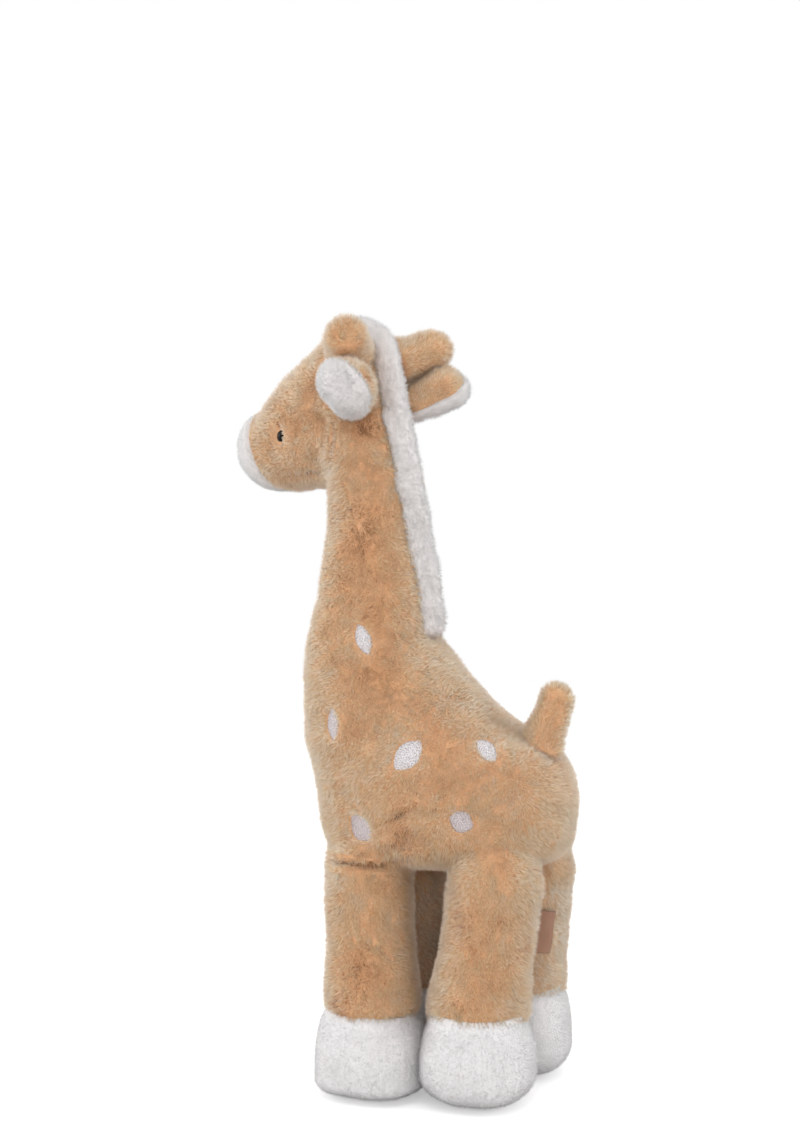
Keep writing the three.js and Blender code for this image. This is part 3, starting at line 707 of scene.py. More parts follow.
# Painted shade and painted light in the pile, darker or lighter places: a place in the
# photograph, its size in mm, its tone.
PAINTED_SHADE_AND_LIGHT = [
    (368, 424, 9, -0.34), (350, 500, 12, -0.06), (372, 525, 13, -0.12), (366, 588, 12, -0.12),
    (366, 617, 6, -0.2), (372, 672, 9, -0.2), (395, 690, 10, -0.1), (352, 700, 8, 0.08),
    (398, 812, 12, -0.12), (425, 838, 10, -0.14), (500, 700, 9, 0.06), (440, 700, 12, 0.06),
    (366, 955, 12, -0.16), (360, 985, 10, -0.1), (482, 945, 12, -0.1), (495, 985, 9, -0.08),
    (345, 880, 9, 0.05), (530, 757, 6, -0.2), (520, 800, 10, 0.06), (300, 400, 10, 0.05),
    (338, 350, 5, -0.12), (425, 402, 5, -0.2), (330, 690, 10, 0.06), (435, 650, 3, -0.2),
    (396, 838, 9, -0.12), (447, 690, 8, -0.06), (352, 560, 9, -0.05), (290, 470, 8, -0.06),
]
fold_lines = []
painted_shade_and_light_spots = []


def sculpt(whole):
    """Folds, hollows and unevenness of the stuffing, and the places of the painted shade and light.
    """
    mesh = whole.data
    points, normals = points_of(mesh), normals_of(mesh)
    surface = nearest_surface(whole, TIPS)
    lumps = 0.5 * waves(points, 30, 11) + 0.25 * waves(points, 13, 12)
    points = pushed(points, normals, lumps)
    for pixels, depth, width, painted_fold_shade, both in FOLDS:
        path = seen_path(surface, pixels)
        goes_on = len(path) < len(pixels)
        for line in [path, mirrored(path)][: 1 + both]:
            points = crease(points, normals, line, depth, width, goes_on)
            fold_lines.append((line, width, painted_fold_shade, goes_on))
    for x, y, size, tone in PAINTED_SHADE_AND_LIGHT:
        for place in seen_path(surface, [(x, y)]):
            painted_shade_and_light_spots.append((place, size, tone))
    for spot in SPOTS:
        points = pushed(points, normals, -1.3 / (1 + np.exp(spot.gap(points) / 0.9)))
    for side in SIDES:
        eye = eye_middle(side)
        points = dimple(points, normals, eye, 2.2, 6.0)
        behind = eye + HEAD[:3, :3] @ np.array([0, 8.5, 1.0])
        points = dimple(points, normals, behind, -0.8, 6.0)
    lifted = raised(points, normals, *muzzle_seam())
    put_points(mesh, np.where((points[:, 2] > JAW)[:, None], lifted, points))


# ---- Mane ----


def mane_route():
    """Places along the back of the neck and up over the head, each with the way out of them."""
    rows = curve_through(neck_rows(), 28)
    below = rows[0].copy()
    below[2] = NECK_BASE - 14
    places, ways = [], []
    for row in np.vstack([below, rows[:-2]]):
        rise = max(row[2] - NECK_BASE, 0) / NECK_HEIGHT
        turn = -HEAD_TURN * rise**3
        outward = np.array([math.sin(turn), math.cos(turn), 0])
        places.append(np.array([row[0], row[1], row[2]]) + outward * (row[3], row[4], 0))
        ways.append(outward)
    head = [(0, (y + l) * HEAD_HALF_LENGTH, h * HEAD_HEIGHT) for h, y, _, l in CRANIUM_SHARES]
    crown, reach = (CRANIUM_SHARES[-1][k] * HEAD_HALF_LENGTH for k in (1, 3))
    for angle in (math.pi / 6, math.pi / 3):
        z = HEAD_HEIGHT + HEAD_DOME * math.sin(angle)
        head.append((0, crown + reach * math.cos(angle), z))
    head.append((0, -14, 93))
    curve = curve_through(head, 60)
    along = unit(np.gradient(curve, axis=0))
    outward = np.stack([np.zeros(len(curve)), along[:, 2], -along[:, 1]], 1)
    turned = matrix_of(HEAD[:3, :3], (0, 0, 0))
    places = np.vstack([places, moved(curve, HEAD)])
    ways = np.vstack([ways, moved(outward, turned)])
    travel = np.r_[0, np.cumsum(lengths(np.diff(places, axis=0)))]
    stops = np.linspace(0, travel[-1], int(travel[-1] / 2.5))
    table = np.hstack([places, ways])
    table = np.stack([np.interp(stops, travel, column) for column in table.T], 1)
    for _ in range(12):
        table[1:-1] = (table[:-2] + 2 * table[1:-1] + table[2:]) / 4
    return list(zip(table[:, :3], unit(table[:, 3:])))


def split(whole, parts, seed):
    """The parts of a skin, each with its planes, random places on it all, and its surface."""
    skins = {node: (part_of(whole, f"{node}_skin", cuts), cuts) for node, cuts in parts.items()}
    places, surface = scatter(whole, seed), nearest_surface(whole)
    bpy.data.objects.remove(whole)
    return skins, places, surface


def make_mane():
    whole = mesh_object("mane_whole", mane_form())
    reshape(whole, uneven, 0.45, 8, 31)
    jaw = (0, 0, JAW)
    return split(whole, {"mane_neck": [(jaw, (0, 0, -1))], "mane_head": [(jaw, (0, 0, 1))]}, 32)


# Half the mane's width, at shares of its length from its lower end. How far it rises over and
# sinks under its own level, and where that level is on the outline of the neck and the head.
MANE_STOPS, MANE_WIDTHS = (0, 0.3, 0.55, 0.8, 1), (10.0, 9.2, 7.7, 7.4, 8.6)
MANE_RISE, MANE_SINK, MANE_LEVEL = 9.4, 3.2, -2.4


def mane_form():
    """A padded strip with full sides and an uneven edge, laid along its route."""
    route, sides, rings = mane_route(), 40, []
    places = np.array([stop[0] for stop in route])
    travel = np.r_[0, np.cumsum(lengths(np.diff(places, axis=0)))]
    for index, (place, outward) in enumerate(route):
        before, after = places[max(index - 1, 0)], places[min(index + 1, len(route) - 1)]
        along = unit(after - before)
        across = unit(np.cross(outward, along))
        up = np.cross(along, across)
        half_width = np.interp(travel[index] / travel[-1], MANE_STOPS, MANE_WIDTHS)
        end = 1 - min(travel[index] / 8, 1)
        full = math.sqrt(1 - end * end)
        ring = []
        for side in range(sides):
            angle = side / sides * 2 * math.pi
            c, s = math.cos(angle), math.sin(angle)
            x = c * half_width * (0.7 + 0.3 * full)
            dome = MANE_RISE * (0.3 + 0.7 * full) * (1 - abs(c) ** 2.4) ** 0.72
            y = (dome if s > 0 else MANE_SINK * s) - x * x / 56
            edge = 0.45 * math.sin(travel[index] * 0.4 + 1 + 2 * math.copysign(1, c))
            x += math.copysign(edge * abs(c), c)
            ring.append(place + across * x + up * (y + MANE_LEVEL))
        rings.append(np.array(ring))
    return np.vstack(rings + [places[:1], places[-1:]]), tube_faces(len(rings), sides)


# ---- Pile ----


def scatter(obj, seed):
    """Even random places on a skin, with its smooth normals there."""
    mesh = obj.data
    mesh.calc_loop_triangles()
    tris = read(mesh.loop_triangles, "vertices", 3, np.int32)
    points, normals = points_of(mesh), normals_of(mesh)
    a, b, c = (points[tris[:, k]] for k in range(3))
    areas = lengths(np.cross(b - a, c - a)) / 2
    rng = np.random.default_rng(seed)
    count = int(areas.sum() * DENSITY)
    picks = np.searchsorted(np.cumsum(areas), rng.uniform(0, areas.sum(), count))
    picks = picks.clip(0, len(tris) - 1)
    r, s = np.sqrt(rng.uniform(size=count)), rng.uniform(size=count)
    weights = np.stack([1 - r, r * (1 - s), r * s], 1)[:, :, None]
    return (points[tris[picks]] * weights).sum(1), unit((normals[tris[picks]] * weights).sum(1))


def within(points, planes):
    """Which places lie in front of every one of these planes."""
    keep = np.ones(len(points), bool)
    for place, normal in planes:
        keep &= (points - np.array(place, float)) @ np.array(normal, float) > 0
    return keep


def combed(points, normals, way, seed):
    """The way that the nap lies at each place: along the skin, with swirls in it."""
    along = unit(flat_on(np.broadcast_to(np.asarray(way, float), points.shape), normals))
    across = np.cross(normals, along)
    angle = 0.75 * (0.55 * waves(points, 22, seed) + 0.35 * waves(points, 6, seed + 1))
    return along * np.cos(angle)[:, None] + across * np.sin(angle)[:, None]


def tufts(points, tips, every, pull, seed):
    """Tips drawn together into small tufts."""
    rng = np.random.default_rng(seed)
    chosen = rng.permutation(len(points))[: max(len(points) // every, 1)]
    tree = KDTree(len(chosen))
    for index, pick in enumerate(chosen):
        tree.insert(points[pick], index)
    tree.balance()
    nearest = np.array([tree.find(p)[1] for p in points])
    goal = tips[chosen][nearest]
    return tips + (goal - tips) * pull, nearest


class Pile:
    """Short tapered spikes with three sides, planned over one whole skin."""

    def __init__(self, points, normals, lean, tone, pale, fuzz, seed):
        rng = np.random.default_rng(seed)
        count = len(points)
        self.places, self.normals = points, normals
        self.relief = np.where(pale, 0.0, 0.2)[:, None]
        mottle = np.where(pale, 0.35, 1.0)
        long = np.where(pale, fuzz, TAN_LENGTH) * rng.uniform(0.72, 1.12, count) * shortened(points)
        self.root = points - normals * ROOT_DEPTH
        away = unit(normals + lean + rng.normal(0, 0.16, (count, 3)))
        tips, pull = self.root + away * long[:, None], 0.24 * mottle[:, None]
        self.tip, group = tufts(points, tips, 9, pull, seed + 5)
        self.away = unit(self.tip - self.root)
        self.first = unit(np.cross(self.away, rng.normal(0, 1, (count, 3))))
        radius = np.where(pale, WHITE_RADIUS, TAN_RADIUS)
        self.radius = (radius * rng.uniform(0.75, 1.2, count))[:, None]
        group_tone = rng.normal(0, 0.05, group.max() + 1)[group]
        self.tone = np.clip(tone + mottle * (group_tone + rng.normal(0, 0.09, count)), 0.02, 0.98)

    def object_of(self, name, keep):
        """A mesh of the spikes to keep."""
        fields = (self.root, self.tip, self.away, self.first, self.normals, self.radius, self.tone)
        root, tip, away, first, normals, radius, tone = (field[keep] for field in fields)
        relief, second, count = self.relief[keep], np.cross(away, first), len(root)
        corners, soft = [], []
        for k in range(3):
            angle = k * 2 * math.pi / 3
            rim = first * math.cos(angle) + second * math.sin(angle)
            corners.append(root + rim * radius)
            soft.append(unit(normals + rim * relief))
        corners.append(tip)
        soft.append(unit(normals + away * relief))
        verts = np.stack(corners, 1).reshape(-1, 3)
        verts[:, 2] = np.maximum(verts[:, 2], FLOOR_GAP)

        mesh = bpy.data.meshes.new(name)
        mesh.vertices.add(count * 4)
        mesh.vertices.foreach_set("co", to_row(verts).astype(np.float32).ravel())
        base = np.arange(count, dtype=np.int32)[:, None] * 4
        corners = base + np.array([0, 1, 3, 1, 2, 3, 2, 0, 3], np.int32)
        mesh.loops.add(count * 9)
        mesh.loops.foreach_set("vertex_index", corners.ravel())
        mesh.polygons.add(count * 3)
        mesh.polygons.foreach_set("loop_start", np.arange(count * 3, dtype=np.int32) * 3)
        mesh.update(calc_edges=True)
        mesh.polygons.foreach_set("use_smooth", np.ones(count * 3, bool))
        u = tone[:, None] + np.tile([-0.006, 0.006, 0], 3)
        # The map's height runs from root to tip, for the painted shade and light up each spike.
        v = np.zeros((count, 1)) + np.tile([0, 0, 1], 3)
        layer = mesh.uv_layers.new(name="OFBake")
        layer.data.foreach_set("uv", np.stack([u, v], 2).astype(np.float32).ravel())
        mesh.normals_split_custom_set_from_vertices(np.stack(soft, 1).reshape(-1, 3).tolist())
        return new_object(name, mesh)


def shortened(points):
    """The share of its length that the pile keeps, clipped round the eyes."""
    far = np.min([lengths(points - eye_middle(side)) for side in SIDES], axis=0)
    return 0.45 + 0.55 * between(far, 4.5, 9.5)


def outside_of(points, surfaces):
    """Which points aren't inside any of these closed skins, but for the outermost 0.8 mm."""
    keep = np.ones(len(points), bool)
    for surface in surfaces:
        for index in np.flatnonzero(keep):
            place, normal = surface.find_nearest(Vector(points[index]), 6.0)[:2]
            if place is not None and (Vector(points[index]) - place).dot(normal) < -0.8:
                keep[index] = False
    return keep


# ---- Materials ----


def filled(tree, node, inputs):
    """Sets each of a node's inputs to a value, or links it to another node's output."""
    for name, value in inputs.items():
        if isinstance(value, bpy.types.NodeSocket):
            tree.links.new(value, node.inputs[name])
        else:
            node.inputs[name].default_value = value
    return node


def node_of(tree, kind, inputs, **settings):
    node = tree.nodes.new(f"ShaderNode{kind}")
    for name, value in settings.items():
        setattr(node, name, value)
    return filled(tree, node, inputs)


def new_material(name, rough, specular=0.3, sheen=0.0, sheen_rough=0.4, tint=(1, 1, 1)):
    material = bpy.data.materials.new(name)
    material.use_nodes = True
    tree = material.node_tree
    shader = filled(tree, tree.nodes["Principled BSDF"], {
        "Roughness": rough, "Specular IOR Level": specular, "Sheen Weight": sheen,
        "Sheen Roughness": sheen_rough, "Sheen Tint": (*tint, 1),
    })
    return material, tree, shader


def linear(colour):
    """A colour as it shows, from 0 to 255, as the light that a shader wants."""
    c = np.array(colour, float) / 255
    return (*np.where(c <= 0.04045, c / 12.92, ((c + 0.055) / 1.055) ** 2.4), 1.0)


def ramp_of(tree, share, stops):
    """A colour at a share of the way through stops, each a place and a colour as it shows."""
    node = node_of(tree, "ValToRGB", {"Fac": share})
    ramp = node.color_ramp
    while len(ramp.elements) < len(stops):
        ramp.elements.new(0.5)
    for element, (place, colour) in zip(ramp.elements, stops):
        element.position, element.color = place, linear(colour)
    return node.outputs["Color"]


def mixed(tree, kind, a, b, share=1.0):
    inputs = {"Factor": share, "A": a, "B": b}
    return node_of(tree, "Mix", inputs, data_type="RGBA", blend_type=kind).outputs["Result"]


def map_of(tree, name):
    return node_of(tree, "UVMap", {}, uv_map=name).outputs["UV"]


def noise_of(tree, scale, detail, rough=0.55, where=None):
    if where is None:
        where = node_of(tree, "TexCoord", {}).outputs["Object"]
    inputs = {"Vector": where, "Scale": scale, "Detail": detail, "Roughness": rough}
    return node_of(tree, "TexNoise", inputs).outputs["Fac"]


def wave_of(tree, where, direction, scale, distortion, fineness=1.0):
    inputs = {"Vector": where, "Scale": scale, "Distortion": distortion, "Detail": 2,
              "Detail Scale": fineness}
    return node_of(tree, "TexWave", inputs, bands_direction=direction).outputs["Fac"]


def bump_of(tree, height, distance):
    return node_of(tree, "Bump", {"Height": height, "Distance": distance}).outputs["Normal"]


def pile_material(name, tones, root, tip, sheen, tint):
    """Pile that reads its tone along the map and its height up the map, which paints shade at the
    roots and light at the tips.
    """
    material, tree, shader = new_material(name, 0.8, 0.2, sheen, 0.45, tint)
    split_map = node_of(tree, "SeparateXYZ", {"Vector": map_of(tree, "OFBake")})
    places = [0.0, 0.14, *np.linspace(0.3, 0.95, len(tones) - 2)]
    tone = ramp_of(tree, split_map.outputs["X"], list(zip(places, tones)))
    # Painted shade and light up each spike: darker at the root, lighter to the tip.
    painted_shade_to_light = [(0.0, root), (0.55, tip), (1.0, (255, 255, 255))]
    height = ramp_of(tree, split_map.outputs["Y"], painted_shade_to_light)
    filled(tree, shader, {
        "Base Color": mixed(tree, "MULTIPLY", tone, height), "Subsurface Weight": 1.0,
        "Subsurface Radius": (1.0, 1.0, 1.0), "Subsurface Scale": 0.0005,
    })
    return material


def backing_material(name, dark, light, sheen, tint):
    """The fabric that shows between the spikes."""
    material, tree, shader = new_material(name, 0.95, 0.1, sheen, 0.5, tint)
    patches, fine = noise_of(tree, 60, 4), noise_of(tree, 900, 2, 0.7)
    blend = mixed(tree, "MIX", patches, fine, 0.5)
    filled(tree, shader, {
        "Base Color": ramp_of(tree, blend, [(0.32, dark), (0.68, light)]),
        "Normal": bump_of(tree, fine, 0.0004),
    })
    return material


def eye_material():
    material, tree, shader = new_material("polished_eye", 0.22, 0.08)
    colour = ramp_of(tree, noise_of(tree, 500, 2), [(0.3, (10, 7, 6)), (0.7, (26, 18, 14))])
    filled(tree, shader, {"Base Color": colour, "Coat Weight": 0.03, "Coat Roughness": 0.04})
    return material


def stitch_material(name, tones):
    """Rows of shiny thread, laid side by side across the leaf, with short stitches in them."""
    material, tree, shader = new_material(name, 0.5, 0.35, 0.2, 0.3, (0.95, 0.93, 1.0))
    where = map_of(tree, "Stitches")
    wave, speck = wave_of(tree, where, "X", 0.72, 3.2, 1.6), noise_of(tree, 1.15, 2, 0.7, where)
    both = mixed(tree, "MIX", wave, speck, 0.78)
    filled(tree, shader, {
        "Base Color": ramp_of(tree, both, list(zip((0.4, 0.5, 0.57), tones))),
        "Normal": bump_of(tree, both, 0.0005),
    })
    return material


def ribbon_material():
    """A bare woven ribbon: fine ribs across, with slight unevenness."""
    material, tree, shader = new_material("woven_ribbon", 0.7, 0.25, 0.2, 0.4, (0.9, 0.75, 0.65))
    where = map_of(tree, "Weave")
    across, along = wave_of(tree, where, "X", 0.9, 0.4), wave_of(tree, where, "Y", 0.6, 0.4)
    weave = mixed(tree, "MULTIPLY", across, along)
    filled(tree, shader, {
        "Base Color": ramp_of(tree, weave, [(0.0, (148, 110, 90)), (1.0, (184, 142, 118))]),
        "Normal": bump_of(tree, weave, 0.0002),
    })
    return material


# Colours from the darkest, for the painted shade in the folds, to the lightest tips.
TAN_TONES = [
    (123, 79, 48), (198, 137, 90), (230, 171, 121), (246, 194, 146), (251, 207, 167),
    (254, 224, 192),
]
WHITE_TONES = [(172, 163, 158), (198, 193, 191), (211, 207, 206), (217, 213, 212), (232, 231, 231)]
WHITE = (1, 1, 1)
# The root and tip colours paint shade at the roots and light at the tips.
PILES = {
    "tan_plush": pile_material(
        "tan_pile", TAN_TONES, (209, 183, 159), (253, 246, 238), 1.05, (1.0, 0.78, 0.6)
    ),
    "white_plush": pile_material(
        "white_pile", WHITE_TONES, (252, 252, 252), (254, 254, 254), 0.15, WHITE
    ),
}
BACKINGS = {
    "tan_plush": backing_material(
        "tan_backing", (200, 148, 108), (227, 179, 139), 0.3, (0.95, 0.84, 0.72)
    ),
    "white_plush": backing_material("white_backing", (203, 198, 196), (216, 212, 211), 0.1, WHITE),
}
# Painted light: a lighter copy of the white backing for the hooves, which stand low in less light.
HOOF_BACKING_PAINTED_LIGHT = backing_material("hoof_backing", (211, 209, 209), (222, 220, 220), 0.1, WHITE)
STITCHES = stitch_material("satin_stitches", [(134, 125, 130), (208, 203, 206), (246, 244, 246)])
# Painted shade: a greyer copy of the satin stitches, for the spots that lie in shade.
STITCHES_IN_PAINTED_SHADE = stitch_material(
    "satin_stitches_dim", [(139, 127, 130), (196, 185, 187), (223, 215, 216)]
)
RIBBON = ribbon_material()
EYE_GLOSS = eye_material()


# ---- Pieces ----

# Pieces that cross the neck's joint turn smoothly from one body to the other.
BOTH = "body and head"
BODIES = {"head": "head", "muzzle": "head", "mane_head": "head", "neck": BOTH, "mane_neck": BOTH}


def fit(obj, material, body):
    """Gives a piece its material and the body that it moves with."""
    obj.data.materials.append(material)
    if body == BOTH:
        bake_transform(obj)
    else:
        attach(obj, body)


def dress(node, obj, pile, keep=slice(None), body=None, backing=None):
    """Makes a stuffed skin stand for its node, and covers it with its share of a pile."""
    white = node.startswith(("muzzle", "mane", "hoof", "ear_lining"))
    slot = "white_plush" if white else "tan_plush"
    body = body or BODIES.get(node, "body")
    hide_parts(node)
    fit(obj, backing or BACKINGS[slot], body)
    fit(pile.object_of(f"{node}_pile", keep), PILES[slot], body)


def spot_field(points):
    """How far each place is from the nearest spot's edge, and the way out of that spot."""
    gap = np.full(len(points), 99.0)
    away = np.zeros_like(points)
    for spot in SPOTS:
        found = spot.gap(points)
        closer = found < gap
        gap = np.where(closer, found, gap)
        away[closer] = (points - spot.middle)[closer]
    return gap, away


def fold_field(points, normals):
    """Painted shade along the folds, and the way out of those nearby."""
    dark = np.zeros(len(points))
    away = np.zeros_like(points)
    for path, width, painted_fold_shade, goes_on in fold_lines:
        far, where = line_distance(points, path)
        fade = (far < 7) * fading(where, goes_on, 0.3) * painted_fold_shade
        ends = np.array(path)
        stops = where * (len(path) - 1)
        index = np.minimum(stops.astype(int), len(path) - 2)
        closest = ends[index] + (ends[index + 1] - ends[index]) * (stops - index)[:, None]
        aside = flat_on(points - closest, normals)
        far = lengths(aside)
        dark = np.maximum(dark, fade * bell(far, 0.9))
        near = fade * bell(far, width * 1.5)
        away += unit(aside) * (near * (far > 0.2))[:, None]
    return dark, away


# The tone of the painted shade and painted light at the listed places.
def painted_shade_and_light_tone(points):
    tone = np.zeros(len(points))
    for place, size, strength in painted_shade_and_light_spots:
        tone += strength * bell(lengths(points - place), size)
    return tone


def tone_and_painted_light_by_region(points):
    """The neck and the legs are deeper in colour than the body, and painted light makes the far
    legs' insides paler.
    """
    x, z = points[:, 0], points[:, 2]
    neck = between(z, 272, 292) * between(z, 352, 338)
    legs = between(z, 120, 100)
    painted_light_inside = between(x, -36, -28) * (x < 0) * legs
    return -0.1 * neck - 0.09 * legs + 0.42 * painted_light_inside


def nowhere(points):
    return np.zeros(len(points), bool)


def everywhere(points):
    return np.ones(len(points), bool)


def plan_pile(places, way, seed, hidden, white=nowhere, fuzz=1.9, level=0.66):
    """Pile for a whole skin, except where another piece hides it.

    It lies along the way given and round the folds and spots, at this tone where it is white.
    """
    points, normals = places
    gap, from_spot = spot_field(points)
    keep = outside_of(points, hidden) & (gap > -0.6)
    points, normals, gap, from_spot = points[keep], normals[keep], gap[keep], from_spot[keep]
    if callable(way):
        way = way(points)
    nap = combed(points, normals, way, seed + 2)
    lean = nap * (0.46 + 0.14 * waves(points, 10, seed + 4)).clip(0.05, 0.95)[:, None]
    from_fold = fold_field(points, normals)[1]
    at_spot = bell(gap.clip(0), 2.4)[:, None]
    lean = lean * (1 - at_spot) + unit(flat_on(from_spot, normals)) * (0.22 * at_spot)
    lean = lean * (1 - 0.7 * lengths(from_fold).clip(0, 1))[:, None]
    lean = lean + flat_on(from_fold, normals) * 0.2
    # Painted shade in the folds: spikes whose tips lean over a fold line are darker.
    dark = fold_field(points + lean * 3.4, normals)[0]
    tone = 0.5 + 0.06 * waves(points, 34, seed) + 0.05 * waves(points, 9, seed + 1)
    # Painted light: the pile is lighter round each spot, where it lies over the leaf's edge.
    tone = tone + 1.5 * painted_shade_and_light_tone(points) + tone_and_painted_light_by_region(points) + 0.16 * bell(gap, 3.0)
    pale = white(points)
    # The painted fold shade is taken off the tone here.
    tone = np.where(pale, level + 0.05 * waves(points, 15, seed), tone) - 0.85 * dark
    lean = lean * np.where(pale, 0.35, 1.0)[:, None]
    return Pile(points, normals, lean, tone, pale, fuzz, seed + 3)


def make_body_and_head():
    whole = build_skin()
    sculpt(whole)
    up, down = (0, 0, 1), (0, 0, -1)
    base, jaw = (0, 0, NECK_BASE), (0, 0, JAW)
    seam_place, seam_normal = muzzle_seam()
    parts = {
        "torso": [((0, 0, LEG_CUT), up), (base, down)],
        "neck": [(base, up), (jaw, down)],
        "head": [(jaw, up), (seam_place, -seam_normal)],
        "muzzle": [(jaw, up), (seam_place, seam_normal)],
    }
    for leg in LEGS:
        ahead = (0, -1 if "front" in leg.name else 1, 0)
        parts[f"leg_{leg.name}"] = [
            ((0, 0, LEG_CUT), down), ((0, 4, 0), (leg.side, 0, 0)), ((0, 4, 0), ahead),
        ]
    return split(whole, parts, 9)


def make_hoof(leg):
    """A sock that stands flat on the floor."""
    hoof = mesh_object(f"hoof_{leg.name}_skin", hoof_form(leg, WHITE_RAISE - PILE))
    points = points_of(hoof.data)
    points[:, 2] = np.maximum(points[:, 2], 0.6)
    put_points(hoof.data, points)
    reshape(hoof, uneven, 0.4, 18, 71)
    return hoof


def make_ear(side):
    """A plump ear: a rounded back, and a lining that is pressed in along its middle."""
    word, place = SIDES[side], ear_place(side)
    rows = [
        (0, 0, l * EAR_LENGTH, w * EAR_HALF_WIDTH - PILE, t * EAR_HALF_DEPTH - PILE, 2)
        for l, w, t in EAR_SHARES
    ]
    tip = EAR_LENGTH * EAR_TIP - PILE
    points, faces = stuffed([(0, 0, -7, 8, 6, 2), *rows], high=tip, end_steps=12)
    length = between(points[:, 2], 0, EAR_LENGTH)
    upper, lower = (1.4, 1.3) if side > 0 else (1.3, 0.74)
    points[:, 1] *= np.where(points[:, 1] > 0, upper, lower)
    fold = bell(points[:, 0], 5) * np.sin(np.pi * length) * (points[:, 1] < 0)
    points[:, 1] += 2.4 * fold
    whole = mesh_object(f"ear_{word}_whole", (points, faces), place)
    reshape(whole, uneven, 0.35, 9, 40 + side)
    seam_y, seam_z, slope = (7.0, 34.0, 0.42) if side > 0 else (4.0, 30.0, 0.08)
    middle = moved(np.array([(0, seam_y, seam_z)]), place)[0]
    back = place[:3, :3] @ unit(np.array([0, 1.0, -slope]))
    reshape(whole, raised, middle, -back)
    parts = {f"ear_back_{word}": [(middle, back)], f"ear_lining_{word}": [(middle, -back)]}
    return split(whole, parts, 41 + side)


def knob(name, place, shares, length, radius, root, tip, end_steps):
    """A round stuffed piece on a slimmer root."""
    rows = [(0, 0, l * length, r * radius - PILE, r * radius - PILE, 2) for l, r in shares]
    rows = [(0, 0, -6, root, root, 2), *rows]
    form = stuffed(rows, high=length * tip - PILE, end_steps=end_steps)
    return mesh_object(name, form, place)


def make_horn(side):
    name, place = f"horn_{SIDES[side]}_skin", horn_place(side)
    horn = knob(name, place, HORN_SHARES, HORN_LENGTH, HORN_RADIUS, 9, 0.42, 20)
    reshape(horn, uneven, 0.45, 12, 50 + side)
    if side > 0:
        size, base = HORN_RADIUS - PILE, HORN_LENGTH * HORN_SHARES[-1][0]
        line = [
            (x, -3, base + size * math.sqrt(0.92 - (x / size) ** 2)) for x in (-7.5, -4, 0, 4, 7.5)
        ]
        line = list(moved(np.array(line), place))
        reshape(horn, crease, line, 1.3, 3.2)
        # Painted shade: the pile along the horn's fold is darkened.
        painted_shade_and_light_spots.append((line[1], 6.5, -0.16))
    return horn


def make_tail():
    tail = knob("tail_skin", TAIL, TAIL_SHARES, TAIL_LENGTH, TAIL_RADIUS, 5, 0.25, 12)
    reshape(tail, uneven, 0.35, 10, 60)
    return tail


def laid_on(surface, start, out, lift):
    """A place on a surface, under a point that is outside it, lifted off it."""
    hit, normal = surface.ray_cast(Vector(start), Vector(-out))[:2]
    return np.array(hit) + np.array(normal) * lift


def make_spot(spot, surface):
    """A leaf of stitches, a little proud of the pressed-in skin and rolled down at its edge."""
    rings, sides = 12, len(spot.outline)
    places = [(0.0, 0.0)]
    for ring in range(1, rings + 1):
        places += (spot.outline * (ring / rings) ** 0.8).tolist()
    points = []
    for index, (u, v) in enumerate(places):
        share = 0 if index == 0 else (1 + (index - 1) // sides) / rings
        start = spot.middle + spot.u * u + spot.v * v + spot.out * 80
        lift = 0.9 * (1 - share**4) ** 0.5 - 0.3 * share**8
        points.append(laid_on(surface, start, spot.out, lift))
    faces = [[0, 1 + side, 1 + (side + 1) % sides] for side in range(sides)]
    for ring in range(rings - 1):
        low = 1 + ring * sides
        for side in range(sides):
            after = (side + 1) % sides
            faces.append([low + side, low + sides + side, low + sides + after, low + after])
    leaf = mesh_object(f"{spot.name}_stitches", (np.array(points), faces))
    mapped(leaf.data, "Stitches", places)
    thickened(leaf, 0.0008)
    return leaf


def make_eye(side):
    """A polished dome with a rolled edge, on the eye's own line."""
    profile = [(3.6, EYE_BACK), (4.5, -2.2), (EYE_RADIUS, EYE_EDGE)]
    for step in range(1, 12):
        angle = step / 12 * math.pi / 2
        profile.append((EYE_RADIUS * math.cos(angle), EYE_EDGE + EYE_DOME * math.sin(angle)))
    rings = [level_ring((0, 0, height, radius, radius, 2), 40) for radius, height in profile]
    points = np.vstack([*rings, (0, 0, EYE_BACK), (0, 0, EYE_EDGE + EYE_DOME)])
    out = unit(np.array([side, -0.35, 0.12]))
    across = unit(np.cross((0, 0, 1), out))
    rotation = np.stack([across, np.cross(out, across), out], 1)
    place = HEAD @ matrix_of(rotation, np.array([side * 26.5, -54, 31.5]) - out * 2.7)
    return mesh_object(f"eye_{SIDES[side]}_bead", (points, tube_faces(len(rings), 40)), place)


def label_frame():
    """The label's middle on its leg's axis, the way that it faces, and its two sides."""
    turn, tilt = math.radians(32), math.radians(-8)
    out = np.array([math.cos(turn), math.sin(turn), 0])
    u, v = turned_sides(np.array([-math.sin(turn), math.cos(turn), 0]), tilt)
    return np.array([*leg_axis(LEGS[3], LABEL_LEVEL), LABEL_LEVEL]), out, u, v


def under_label(points):
    middle, out, u, v = label_frame()
    rel = points - middle
    beside = np.abs(rel @ u) < LABEL_WIDE / 2 - 0.4
    return (rel @ out > 0) & beside & (np.abs(rel @ v) < LABEL_HIGH / 2 - 0.4)


